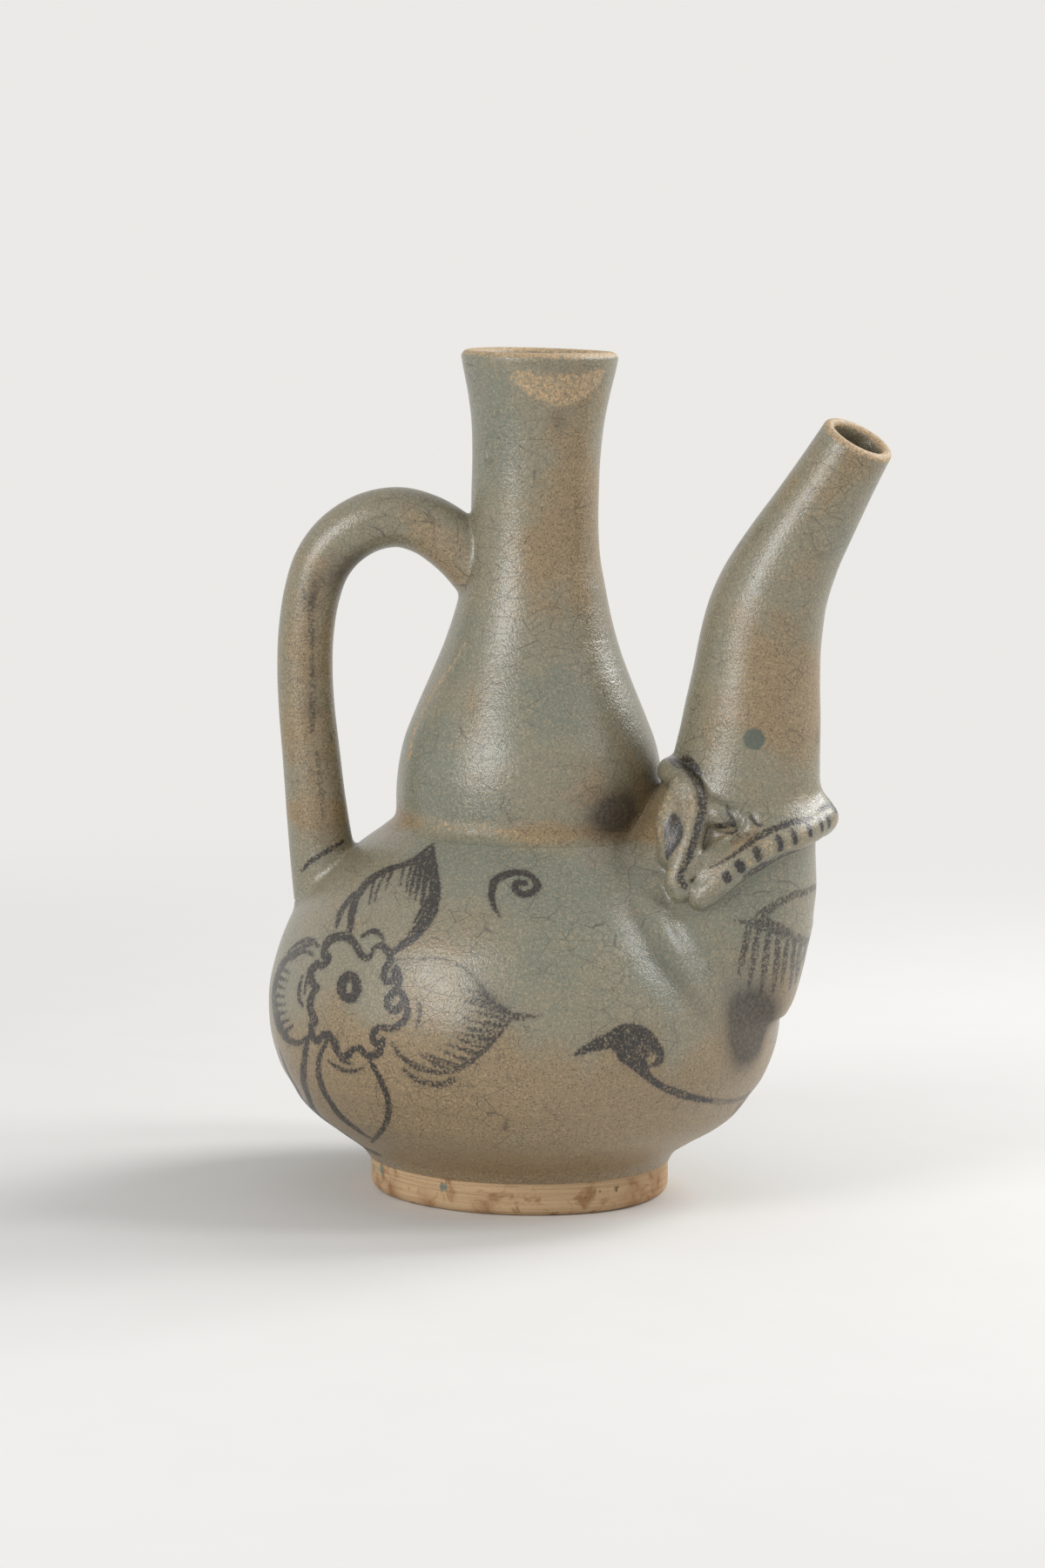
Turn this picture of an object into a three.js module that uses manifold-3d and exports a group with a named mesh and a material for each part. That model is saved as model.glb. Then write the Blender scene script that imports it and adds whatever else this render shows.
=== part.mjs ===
// Celadon ewer: a gourd-shaped wine bottle with a beast-mouth spout and a rod handle.
// Millimetres, +Z up. The pot is thrown in two bodies that are luted at the waist.
// The group is set so that the origin lies on the ground under the middle of the whole ewer.

import * as THREE from 'three';
import { mergeVertices } from 'three/addons/utils/BufferGeometryUtils.js';
import Module from 'manifold-3d';

const wasm = await Module();
wasm.setup();

// Clearance left between two fitted pieces of clay, the overrun of a cut, and the distance
// within which two corners of a shell are one.
const seatGap = 0.3;
const cutOverrun = 6;
const mergeDistance = 0.0001;

// The belly sets every width of the gourd: foot, bulb, mouth, spout and handle follow it.
const bellyRadius = 74.4;

// Foot ring: turned from the base, unglazed.
const footRadiusShare = 0.582;
const footRadius = bellyRadius * footRadiusShare;
const footHeight = 9.6;
const footRingWidth = 8;
const footEdgeRound = 2.8;

// Lower globe: thrown, with a flat floor over the foot.
const globeHeight = 96.2;
const globeWall = 4.8;
const globeFloor = 5;
const globeSeatWidth = 5;

// Band of clay that closes the luted joint at the waist.
const bandHeight = 4.2;

// Upper bulb: thrown, narrowing into the neck.
const bulbRadiusShare = 0.5188;
const bulbRadius = bellyRadius * bulbRadiusShare;
const bulbHeight = 66;
const bulbWall = 4.4;

// Neck with its flared, rolled lip.
const mouthRadiusShare = 0.3038;
const mouthRadius = bellyRadius * mouthRadiusShare;
const neckHeight = 67;
const neckWall = 3.9;

// Spout: turned out of the pot's middle plane, measured from the beast's mouth.
const spoutTurnDegrees = -16;
const rootRadiusShare = 0.4436;
const rootRadius = bellyRadius * rootRadiusShare;
const throatRadiusShare = 0.727;
const mouthOutShare = 0.824;
const mouthUpShare = 1.065;
const spoutReachShare = 0.4462;
const spoutReach = bellyRadius * spoutReachShare;
const spoutRise = 108.5;
const spoutWall = 3.6;
const rootWall = 4.6;
const pourHoleRadius = 9;
const pourHoleShare = 0.8;

// Beast's mouth: two lip coils, an eye and two fangs on each side.
const lipCoilRadius = 3.7;
const lipEndShare = 0.3;
const eyeWidth = 12;
const eyeDepth = 9;
const upperFangRadius = 3;
const lowerFangRadius = 2;

// Handle: a round rod from the neck to the shoulder, thicker at both ends.
const handleRadius = 8;
const handleReachShare = 0.8763;
const handleReach = bellyRadius * handleReachShare;
const handleTop = 195;
const handleFootOutShare = 0.772;
const handleFootUpShare = 0.783;
const handleHeadOutShare = 0.326;
const handleHeadDownShare = 0.06;
const handleFootRadiusShare = 1.28;
const handleHeadRadiusShare = 1.16;

// Facets around each turned or bent form, and steps along it.
const globeSides = 44;
const bulbSides = 32;
const spoutSides = 24;
const rodSides = 16;
const coilSides = 10;
const beadSides = 8;
const globeSteps = 15;
const bulbSteps = 12;
const neckSteps = 12;
const spoutSteps = 12;
const rootSteps = 9;
const handleSteps = 24;
const coilSteps = 18;
const roundSteps = 4;
const rimSteps = 5;
const capSteps = 3;
const slopeShare = 0.001;

// Heights of the joints above the ground.
const globeTop = footHeight + globeHeight;
const bulbFoot = globeTop + bandHeight;
const neckFoot = bulbFoot + bulbHeight;

// Outlines as shares: distance from the pot's axis, then height up the piece.
const globeOutlineShares = [
  [0.59, 0], [0.618, 0.031], [0.715, 0.085], [0.866, 0.173], [0.947, 0.272], [0.989, 0.372], [1, 0.474],
  [0.981, 0.576], [0.937, 0.682], [0.863, 0.786], [0.763, 0.868], [0.645, 0.947], [0.551, 1],
];
const bulbOutlineShares = [
  [0.995, 0], [1, 0.076], [0.987, 0.189], [0.943, 0.318], [0.865, 0.439], [0.759, 0.586],
  [0.655, 0.739], [0.58, 0.885], [0.536, 1],
];
const neckOutlineShares = [
  [0.915, 0], [0.845, 0.119], [0.814, 0.254], [0.81, 0.418], [0.814, 0.552], [0.845, 0.7],
  [0.903, 0.82], [0.97, 0.925], [0.995, 0.97],
];
const bandOutlineShares = [[1, 0], [0.35, 0.4], [0, 1]];

const smoothOutline = (shares, radius, base, height, steps) => {
  const points = shares.map(([r, z]) => new THREE.Vector2(radius * r, base + height * z));
  return new THREE.SplineCurve(points).getPoints(steps);
};

const globeOutline = smoothOutline(globeOutlineShares, bellyRadius, footHeight, globeHeight, globeSteps);
const bulbOutline = smoothOutline(bulbOutlineShares, bulbRadius, bulbFoot, bulbHeight, bulbSteps);
const neckOutline = smoothOutline(neckOutlineShares, mouthRadius, neckFoot, neckHeight, neckSteps);

// Closed shells: the vertices are merged and the faces point out.
const closedGeometry = (geometry) => {
  geometry.deleteAttribute('normal');
  geometry.deleteAttribute('uv');
  const merged = mergeVertices(geometry, mergeDistance);
  const position = merged.attributes.position;
  const index = merged.index.array;
  const corner = (i) => new THREE.Vector3().fromBufferAttribute(position, i);
  const kept = [];
  let volume = 0;
  for (let i = 0; i < index.length; i += 3) {
    const [a, b, c] = [index[i], index[i + 1], index[i + 2]];
    if (a === b || b === c || c === a) continue;
    kept.push(a, b, c);
    volume += corner(a).dot(corner(b).cross(corner(c)));
  }
  if (volume < 0) kept.reverse();
  merged.setIndex(kept);
  return merged;
};

const toSolid = (geometry) => {
  const closed = closedGeometry(geometry);
  return new wasm.Manifold(new wasm.Mesh({
    numProp: 3,
    vertProperties: new Float32Array(closed.attributes.position.array),
    triVerts: new Uint32Array(closed.index.array),
  }));
};

const toGeometry = (solid) => {
  const mesh = solid.getMesh();
  const geometry = new THREE.BufferGeometry();
  geometry.setAttribute('position', new THREE.BufferAttribute(new Float32Array(mesh.vertProperties), 3));
  geometry.setIndex(new THREE.BufferAttribute(new Uint32Array(mesh.triVerts), 1));
  geometry.computeVertexNormals();
  return geometry;
};

// A profile of Vector2 (distance from the axis, height) turned about the upright axis.
const turned = (profile, sides) => new THREE.LatheGeometry(profile, sides).rotateX(Math.PI / 2);

// The normal of an open outline at each of its points, away from the axis.
const outlineNormal = (outline, i) => {
  const before = outline[Math.max(i - 1, 0)];
  const after = outline[Math.min(i + 1, outline.length - 1)];
  const along = after.clone().sub(before).normalize();
  return new THREE.Vector2(along.y, -along.x);
};

const offsetOutline = (outline, distance) =>
  outline.map((point, i) => point.clone().addScaledVector(outlineNormal(outline, i), distance));

// The inside of a wall, from the top down, with half the steps of the outside.
const insideOutline = (outline, wall) =>
  offsetOutline(outline, -wall).filter((_, i) => (outline.length - 1 - i) % 2 === 0).reverse();

// A half-round edge between two profile points, bulging away from the solid.
const roundEdge = (from, to, steps) => {
  const centre = from.clone().add(to).divideScalar(2);
  const arm = from.clone().sub(centre);
  return Array.from({ length: steps + 1 }, (_, i) =>
    arm.clone().rotateAround(new THREE.Vector2(), (Math.PI * i) / steps).add(centre));
};

const footRingGeometry = () => {
  const inner = footRadius - footRingWidth;
  const arc = Array.from({ length: roundSteps + 1 }, (_, i) => {
    const turn = (Math.PI / 2) * (i / roundSteps);
    return new THREE.Vector2(
      footRadius - footEdgeRound * (1 - Math.sin(turn)),
      footEdgeRound * (1 - Math.cos(turn)),
    );
  });
  return turned([
    new THREE.Vector2(inner, 0),
    ...arc,
    new THREE.Vector2(footRadius, footHeight),
    new THREE.Vector2(inner, footHeight),
    new THREE.Vector2(inner, 0),
  ], globeSides);
};

const globeSeat = globeOutline[globeOutline.length - 1].x;

const lowerGlobeSolid = () => {
  const floorTop = footHeight + globeFloor;
  const inside = insideOutline(globeOutline, globeWall)
    .filter((point) => point.y > floorTop + globeWall / 2 && point.y < globeTop);
  const profile = [
    new THREE.Vector2(0, footHeight),
    ...globeOutline,
    new THREE.Vector2(globeSeat - globeSeatWidth, globeTop),
    ...inside,
    new THREE.Vector2(inside[inside.length - 1].x - globeWall, floorTop),
    new THREE.Vector2(0, floorTop),
  ];
  return toSolid(turned(profile, globeSides));
};

const bandOutline = bandOutlineShares.map(([out, up]) => new THREE.Vector2(
  bulbOutline[0].x + (globeSeat - bulbOutline[0].x) * out,
  globeTop + bandHeight * up,
));

const waistBandGeometry = () => turned([
  ...bandOutline,
  new THREE.Vector2(bulbOutline[0].x - bulbWall, bulbFoot),
  new THREE.Vector2(globeSeat - globeSeatWidth, globeTop),
  bandOutline[0].clone(),
], globeSides);

const upperBulbGeometry = () => {
  const inside = insideOutline(bulbOutline, bulbWall)
    .filter((point) => point.y > bulbFoot && point.y < neckFoot);
  return turned([
    ...bulbOutline,
    new THREE.Vector2(bulbOutline[bulbOutline.length - 1].x - neckWall, neckFoot),
    ...inside,
    new THREE.Vector2(bulbOutline[0].x - bulbWall, bulbFoot),
    bulbOutline[0].clone(),
  ], bulbSides);
};

const neckGeometry = () => {
  const inside = insideOutline(neckOutline, neckWall).filter((point) => point.y > neckFoot);
  const rim = neckOutline[neckOutline.length - 1];
  return turned([
    ...neckOutline.slice(0, -1),
    ...roundEdge(rim, inside[0], rimSteps),
    ...inside.slice(1),
    new THREE.Vector2(neckOutline[0].x - neckWall, neckFoot),
    neckOutline[0].clone(),
  ], bulbSides);
};

// The outer skin of the pot, grown by the seat gap, that the spout and the handle are cut to.
const potSkin = (turn) => {
  const grown = (outline, sides) => {
    const skin = offsetOutline(outline, seatGap);
    const foot = skin[0].clone().setY(skin[0].y - seatGap);
    const head = skin[skin.length - 1].clone().setY(skin[skin.length - 1].y + seatGap);
    const ends = [foot, head].map((point) => point.clone().setX(0));
    return toSolid(turned([ends[0], foot, ...skin, head, ends[1]], sides).rotateZ(turn));
  };
  return grown(globeOutline, globeSides)
    .add(grown(bandOutline, globeSides))
    .add(grown(bulbOutline, bulbSides))
    .add(grown(neckOutline, bulbSides));
};

// The spout's line, from its root in the belly to its end: along, radius, up.
const beastMouth = new THREE.Vector2(bellyRadius * mouthOutShare, footHeight + globeHeight * mouthUpShare);
const throatRadius = rootRadius * throatRadiusShare;
const rootLineShares = [
  [0.632, 0.76, 0.41], [0.63, 0.905, 0.493], [0.642, 0.965, 0.586], [0.68, 0.982, 0.732],
  [0.735, 0.94, 0.857], [0.775, 0.87, 0.94],
];
const tubeLineShares = [
  [0, 0, 1], [0.069, 0.092, 0.913], [0.105, 0.194, 0.85], [0.13, 0.286, 0.808], [0.157, 0.378, 0.758],
  [0.19, 0.47, 0.721], [0.238, 0.547, 0.692], [0.307, 0.616, 0.65], [0.449, 0.712, 0.583],
  [0.62, 0.805, 0.525], [0.816, 0.906, 0.475], [1, 1, 0.442],
];
const spoutLine = new THREE.CatmullRomCurve3([
  ...rootLineShares.map(([out, r, up]) =>
    new THREE.Vector3(bellyRadius * out, rootRadius * r, footHeight + globeHeight * up)),
  ...tubeLineShares.map(([out, up, r]) =>
    new THREE.Vector3(beastMouth.x + spoutReach * out, throatRadius * r, beastMouth.y + spoutRise * up)),
], false, 'centripetal');
const lineSpans = rootLineShares.length + tubeLineShares.length - 1;
const throatShare = rootLineShares.length / lineSpans;

// A lathe bent along an upright plane line whose middle value is the radius. The profile's first
// value is the distance from the local skin, its second the share of the way along the line.
const bentLathe = (line, profile, sides) => {
  const outline = profile.map(([inset, share]) => {
    const radius = line.getPoint(share).y;
    return new THREE.Vector2(inset === null ? 0 : radius + inset, share);
  });
  const geometry = new THREE.LatheGeometry(outline, sides);
  const position = geometry.attributes.position;
  for (let i = 0; i < position.count; i += 1) {
    const share = position.getY(i);
    const centre = line.getPoint(share);
    const along = line.getTangent(share).setY(0).normalize();
    const across = new THREE.Vector3(along.z, 0, -along.x).multiplyScalar(position.getX(i));
    position.setXYZ(i, centre.x + across.x, position.getZ(i), centre.z + across.z);
  }
  return geometry;
};

const stretch = (from, to, steps, inset) =>
  Array.from({ length: steps + 1 }, (_, i) => [inset, from + ((to - from) * i) / steps]);

const closedStretch = (from, to, steps, inset) => [
  [null, from], ...stretch(from, to, steps, inset), [null, to],
];

// The share of a line that a length covers near a place on it.
const shareOf = (line, share, length) => {
  const before = Math.max(share - slopeShare, 0);
  const after = Math.min(share + slopeShare, 1);
  const span = line.getPoint(before).setY(0).distanceTo(line.getPoint(after).setY(0));
  return (length * (after - before)) / span;
};

const spoutSkin = () =>
  toSolid(bentLathe(spoutLine, closedStretch(0, 1, rootSteps + spoutSteps, seatGap), spoutSides));

const spoutRootSolid = (pot) => {
  const top = throatShare - shareOf(spoutLine, throatShare, seatGap / 2);
  const overrun = throatShare + shareOf(spoutLine, throatShare, cutOverrun);
  const outside = toSolid(bentLathe(spoutLine, closedStretch(0, top, rootSteps, 0), spoutSides));
  const bore = toSolid(bentLathe(spoutLine, closedStretch(0, overrun, rootSteps, -rootWall), spoutSides));
  return outside.subtract(bore).subtract(pot);
};

const spoutTubeGeometry = () => {
  const start = throatShare + shareOf(spoutLine, throatShare, seatGap / 2);
  const round = spoutWall / 2;
  const end = 1 - shareOf(spoutLine, 1, round);
  const rim = Array.from({ length: roundSteps + 1 }, (_, i) => {
    const turn = (Math.PI * i) / roundSteps;
    return [-round + round * Math.cos(turn), end + (1 - end) * Math.sin(turn)];
  });
  return bentLathe(spoutLine, [
    ...stretch(start, end, spoutSteps, 0),
    ...rim.slice(1, -1),
    ...stretch(end, start, spoutSteps, -spoutWall),
    [0, start],
  ], spoutSides);
};

// The hole through the globe's wall into the spout's root, square to the wall.
const pourHoleSolid = () => {
  const place = new THREE.SplineCurve(globeOutline).getPoint(pourHoleShare);
  const out = outlineNormal(globeOutline, Math.round(pourHoleShare * (globeOutline.length - 1)));
  const depth = globeWall + 2 * cutOverrun;
  const hole = new THREE.CylinderGeometry(pourHoleRadius, pourHoleRadius, depth, rodSides);
  hole.rotateZ(-Math.atan2(out.x, out.y)).rotateX(Math.PI / 2);
  hole.translate(place.x - (out.x * globeWall) / 2, 0, place.y - (out.y * globeWall) / 2);
  return toSolid(hole.rotateZ(THREE.MathUtils.degToRad(spoutTurnDegrees)));
};

// Half of each lip's line, from the middle plane to the corner of the mouth, as shares of the throat
// radius from the mouth's middle: out, to the side, up. The other half mirrors it.
const upperLipShares = [
  [-0.746, 0, 0.55], [-0.667, 0.525, 0.567], [-0.529, 0.725, 0.542], [-0.388, 0.858, 0.475],
  [-0.279, 0.942, 0.367], [-0.229, 1.008, 0.229], [-0.221, 1.083, 0.063], [-0.254, 1.192, -0.146],
  [-0.308, 1.283, -0.388], [-0.358, 1.346, -0.625], [-0.296, 1.371, -0.8],
];
const lowerLipShares = [
  [1.12, 0, 0.067], [1.05, 0.254, 0.017], [0.883, 0.617, -0.058], [0.688, 0.838, -0.167],
  [0.488, 1.033, -0.321], [0.288, 1.179, -0.479], [0.138, 1.275, -0.65], [-0.042, 1.338, -0.796],
  [-0.133, 1.354, -0.842],
];

// A place in the beast's face: shares of the throat radius from the mouth's middle, out, side, up.
const facePlace = ([out, side, up], mirror) => new THREE.Vector3(
  beastMouth.x + throatRadius * out,
  -throatRadius * side * mirror,
  beastMouth.y + throatRadius * up,
);

const lipForm = (halfShares, growth) => {
  const left = halfShares.slice(1).reverse().map((share) => facePlace(share, -1));
  const right = halfShares.map((share) => facePlace(share, 1));
  const line = new THREE.CatmullRomCurve3([...left, ...right], false, 'centripetal');
  const hub = new THREE.Vector3(beastMouth.x, 0, beastMouth.y);
  const profile = Array.from({ length: coilSteps + 1 }, (_, i) => {
    const share = i / coilSteps;
    const fromEnd = Math.min(share, 1 - share) * coilSteps;
    const swell = Math.sqrt(lipEndShare + (1 - lipEndShare) * Math.min(fromEnd, 1));
    return new THREE.Vector2(lipCoilRadius * swell + growth, share);
  });
  const closed = [new THREE.Vector2(0, 0), ...profile, new THREE.Vector2(0, 1)];
  const geometry = new THREE.LatheGeometry(closed, coilSides);
  const position = geometry.attributes.position;
  for (let i = 0; i < position.count; i += 1) {
    const share = position.getY(i);
    const centre = line.getPointAt(share);
    const along = line.getTangentAt(share);
    const out = centre.clone().sub(hub).cross(along).cross(along).negate().normalize();
    const across = along.clone().cross(out);
    centre.addScaledVector(out, position.getX(i)).addScaledVector(across, position.getZ(i));
    position.setXYZ(i, centre.x, centre.y, centre.z);
  }
  return toSolid(geometry);
};

// The eye and the fangs lie along short lines on the face, given by their two ends.
const eyeEndShares = [[-0.46, 0.9, 0.35], [-0.4, 1.22, -0.4]];
const upperFangEndShares = [[-0.02, 1.02, 0.21], [0.25, 1, 0.03]];
const lowerFangEndShares = [[0.46, 0.93, 0.16], [0.5, 0.92, -0.11]];

// A unit form set on the face between two ends: its own Z along the line and its own X outward.
const onFace = (form, ends, mirror) => {
  const [from, to] = ends.map((share) => facePlace(share, mirror));
  const along = to.clone().sub(from).normalize();
  const middle = from.clone().add(to).divideScalar(2);
  const hub = new THREE.Vector3(beastMouth.x, 0, middle.z);
  const across = new THREE.Vector3().crossVectors(along, middle.clone().sub(hub)).normalize();
  const out = new THREE.Vector3().crossVectors(across, along);
  return toSolid(form(from.distanceTo(to))
    .applyMatrix4(new THREE.Matrix4().makeBasis(out, across, along).setPosition(middle)));
};

const eyeForm = (mirror) => onFace((length) =>
  new THREE.SphereGeometry(1, coilSides, beadSides)
    .rotateX(Math.PI / 2)
    .scale(eyeDepth / 2, eyeWidth / 2, length / 2), eyeEndShares, mirror);

const fangForm = (ends, radius, mirror) => onFace((length) =>
  new THREE.CapsuleGeometry(radius, length, capSteps, beadSides).rotateX(Math.PI / 2), ends, mirror);

// The handle's line, in the pot's middle plane behind the spout: out, radius, up.
const handleFoot = new THREE.Vector2(
  bellyRadius * handleFootOutShare,
  footHeight + globeHeight * handleFootUpShare,
);
const handleRise = handleTop - handleFoot.y;
const handleHead = new THREE.Vector2(
  mouthRadius * handleHeadOutShare,
  neckFoot - neckHeight * handleHeadDownShare,
);
const handleLineShares = [
  [0.215, 1.15, 0.855], [0.299, 1.13, 0.909], [0.383, 1.11, 0.95], [0.475, 1.09, 0.982], [0.597, 1.08, 1],
  [0.729, 1.07, 0.985], [0.851, 1.05, 0.938], [0.933, 1.03, 0.873], [0.977, 1.01, 0.791], [0.997, 1, 0.7],
  [1, 1, 0.609], [0.991, 1.01, 0.5], [0.972, 1.04, 0.382], [0.951, 1.08, 0.264], [0.923, 1.15, 0.145],
];
const handleLine = new THREE.CatmullRomCurve3([
  new THREE.Vector3(-handleHead.x, handleRadius * handleHeadRadiusShare, handleHead.y),
  ...handleLineShares.map(([out, r, up]) =>
    new THREE.Vector3(-handleReach * out, handleRadius * r, handleFoot.y + handleRise * up)),
  new THREE.Vector3(-handleFoot.x, handleRadius * handleFootRadiusShare, handleFoot.y),
], false, 'centripetal');

const handleSolid = (pot) =>
  toSolid(bentLathe(handleLine, closedStretch(0, 1, handleSteps, 0), rodSides)).subtract(pot);

// Finishes: celadon glaze, iron-rich celadon where it thins, and bare clay.
const celadon = () => new THREE.MeshStandardMaterial({ color: 0x8d9180, roughness: 0.38, metalness: 0 });
const wornCeladon = () => new THREE.MeshStandardMaterial({ color: 0x9a9278, roughness: 0.45, metalness: 0 });
const bareClay = () => new THREE.MeshStandardMaterial({ color: 0xb59a78, roughness: 0.8, metalness: 0 });

const named = (name, geometry, material) => {
  const mesh = new THREE.Mesh(geometry, material);
  mesh.name = name;
  return mesh;
};

const skinForHandle = potSkin(0);
const skinForSpout = potSkin(-THREE.MathUtils.degToRad(spoutTurnDegrees));
const spoutSolid = spoutSkin();
const mouthSkin = lipForm(upperLipShares, seatGap).add(lipForm(lowerLipShares, seatGap)).add(spoutSolid);
const upperLip = lipForm(upperLipShares, 0).subtract(spoutSolid).subtract(skinForSpout);
const lowerLip = lipForm(lowerLipShares, 0)
  .subtract(lipForm(upperLipShares, seatGap))
  .subtract(spoutSolid)
  .subtract(skinForSpout);

const ewer = new THREE.Group();
ewer.add(
  named('foot_ring', closedGeometry(footRingGeometry()), bareClay()),
  named('lower_globe', toGeometry(lowerGlobeSolid().subtract(pourHoleSolid())), celadon()),
  named('waist_band', closedGeometry(waistBandGeometry()), wornCeladon()),
  named('upper_bulb', closedGeometry(upperBulbGeometry()), celadon()),
  named('neck', closedGeometry(neckGeometry()), celadon()),
  named('handle', toGeometry(handleSolid(skinForHandle)), celadon()),
);

const spout = new THREE.Group();
spout.rotation.z = THREE.MathUtils.degToRad(spoutTurnDegrees);
spout.add(
  named('spout_root', toGeometry(spoutRootSolid(skinForSpout)), celadon()),
  named('spout_tube', closedGeometry(spoutTubeGeometry()), celadon()),
  named('upper_lip', toGeometry(upperLip), celadon()),
  named('lower_lip', toGeometry(lowerLip), celadon()),
);
for (const [side, mirror] of [['right', 1], ['left', -1]]) {
  const upperFang = fangForm(upperFangEndShares, upperFangRadius, mirror);
  const lowerFang = fangForm(lowerFangEndShares, lowerFangRadius, mirror);
  spout.add(
    named(`eye_${side}`, toGeometry(eyeForm(mirror).subtract(mouthSkin)), celadon()),
    named(`upper_fang_${side}`, toGeometry(upperFang.subtract(mouthSkin)), celadon()),
    named(`lower_fang_${side}`, toGeometry(lowerFang.subtract(mouthSkin)), celadon()),
  );
}
ewer.add(spout);

// The origin goes under the middle of the ewer's outer box.
const box = new THREE.Box3().setFromObject(ewer, true);
ewer.position.x = -(box.min.x + box.max.x) / 2;
ewer.position.y = -(box.min.y + box.max.y) / 2;

export default ewer;
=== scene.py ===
import functools
import math

import bpy
import numpy as np
from mathutils import Matrix, Vector


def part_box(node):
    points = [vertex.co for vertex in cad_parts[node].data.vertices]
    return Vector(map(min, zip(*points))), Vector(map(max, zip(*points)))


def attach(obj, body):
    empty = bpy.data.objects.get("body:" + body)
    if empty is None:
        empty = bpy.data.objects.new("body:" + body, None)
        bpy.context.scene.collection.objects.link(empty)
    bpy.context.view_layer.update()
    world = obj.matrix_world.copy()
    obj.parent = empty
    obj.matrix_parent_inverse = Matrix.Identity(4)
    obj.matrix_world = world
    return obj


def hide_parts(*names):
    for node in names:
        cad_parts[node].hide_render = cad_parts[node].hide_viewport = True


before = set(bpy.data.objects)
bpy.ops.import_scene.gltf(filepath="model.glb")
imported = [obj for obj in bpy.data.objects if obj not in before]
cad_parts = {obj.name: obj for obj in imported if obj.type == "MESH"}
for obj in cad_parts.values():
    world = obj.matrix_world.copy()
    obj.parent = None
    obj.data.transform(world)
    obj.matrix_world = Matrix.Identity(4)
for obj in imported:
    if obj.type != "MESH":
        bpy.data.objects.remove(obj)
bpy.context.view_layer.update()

bl_info = {
    "name": "Celadon Ewer",
    "version": (1, 0, 0),
    "blender": (4, 5, 0),
    "location": "3D View > Sidebar > Ewer",
    "description": "Clay skins, iron painting, celadon glaze and studio for a gourd-shaped ewer",
    "category": "Add Mesh",
}

# The forms are worked in millimetres about the pot's own upright axis.
MM = 0.001
FOOT_LOW, FOOT_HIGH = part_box("foot_ring")
AXIS_X = (FOOT_LOW.x + FOOT_HIGH.x) / 2


def top_of(node):
    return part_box(node)[1].z


def half_width(node):
    low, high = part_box(node)
    return (high.y - low.y) / 2


# Outlines as shares: distance from the pot's axis, then height up the piece.
GLOBE_SHARES = (
    (0.59, 0), (0.618, 0.031), (0.715, 0.085), (0.808, 0.132), (0.866, 0.173), (0.907, 0.222), (0.947, 0.272),
    (0.989, 0.372), (1, 0.474), (0.995, 0.525), (0.981, 0.576), (0.962, 0.629), (0.937, 0.682),
    (0.907, 0.733), (0.863, 0.786), (0.802, 0.839), (0.728, 0.893), (0.645, 0.947), (0.569, 0.991),
)
BULB_SHARES = (
    (1.01, -0.03), (0.997, 0.01), (1, 0.076), (0.987, 0.189), (0.943, 0.318), (0.865, 0.439), (0.759, 0.586),
    (0.655, 0.739), (0.58, 0.885), (0.536, 1),
)
NECK_SHARES = (
    (0.845, 0.119), (0.814, 0.254), (0.81, 0.418), (0.814, 0.552), (0.845, 0.7), (0.903, 0.82), (0.97, 0.925),
    (0.995, 0.97),
)
# The spout's line as shares: out, radius, up.
ROOT_SHARES = (
    (0.632, 0.8, 0.41), (0.63, 0.93, 0.493), (0.642, 0.99, 0.586), (0.68, 0.998, 0.732), (0.735, 0.95, 0.857),
    (0.775, 0.87, 0.94),
)
TUBE_SHARES = (
    (0, 1, 0), (0.069, 0.913, 0.092), (0.105, 0.85, 0.194), (0.13, 0.808, 0.286), (0.157, 0.758, 0.378),
    (0.19, 0.721, 0.47), (0.238, 0.692, 0.547), (0.307, 0.65, 0.616), (0.449, 0.583, 0.712),
    (0.62, 0.525, 0.806), (0.816, 0.475, 0.912), (1, 0.442, 1.012),
)
# The handle's line as shares: out, radius, up.
HANDLE_SHARES = (
    (0.215, 1.15, 0.855), (0.299, 1.13, 0.909), (0.383, 1.11, 0.95), (0.475, 1.09, 0.982), (0.597, 1.08, 1),
    (0.729, 1.07, 0.985), (0.851, 1.05, 0.938), (0.933, 1.03, 0.873), (0.977, 1.01, 0.791), (0.997, 1, 0.7),
    (1, 1, 0.609), (0.991, 1.01, 0.5), (0.972, 1.04, 0.382), (0.951, 1.08, 0.264), (0.923, 1.15, 0.145),
)
# Its ends in the neck, as shares of the mouth's and the neck's size, and in the globe.
HANDLE_HEAD, HANDLE_FOOT = (0.326, 1.16, -0.06), (0.772, 1.28, 0.783)
# The middle of the beast's mouth, out and up as shares of the globe, and the throat's radius as one of the
# root's.
MUZZLE_SHARES = (0.824, 1.065)
THROAT_SHARE = 0.727
# Lines in the beast's face as shares of the throat's radius from the middle of its mouth: out, side, up.
UPPER_LIP_SHARES = (
    (-0.746, 0, 0.55), (-0.667, 0.525, 0.567), (-0.529, 0.725, 0.542), (-0.388, 0.858, 0.475),
    (-0.279, 0.942, 0.367), (-0.229, 1.008, 0.229), (-0.221, 1.083, 0.063), (-0.254, 1.192, -0.146),
    (-0.308, 1.283, -0.388), (-0.355, 1.346, -0.6), (-0.31, 1.365, -0.735),
)
LOWER_LIP_SHARES = (
    (1.06, 0, 0.07), (0.995, 0.254, 0.01), (0.855, 0.6, -0.072), (0.67, 0.81, -0.15), (0.48, 1, -0.285),
    (0.28, 1.14, -0.43), (0.13, 1.24, -0.6), (0, 1.3, -0.735), (-0.062, 1.328, -0.8),
)
# Radii of the coils at the same places, as shares of the coil's radius.
UPPER_LIP_RADII = (1.05, 1.02, 0.98, 0.94, 0.93, 0.94, 0.97, 0.97, 0.95, 0.89, 0.74)
LOWER_LIP_RADII = (1.24, 1.25, 1.28, 1.3, 1.28, 1.22, 1.1, 0.98, 0.86)
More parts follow.
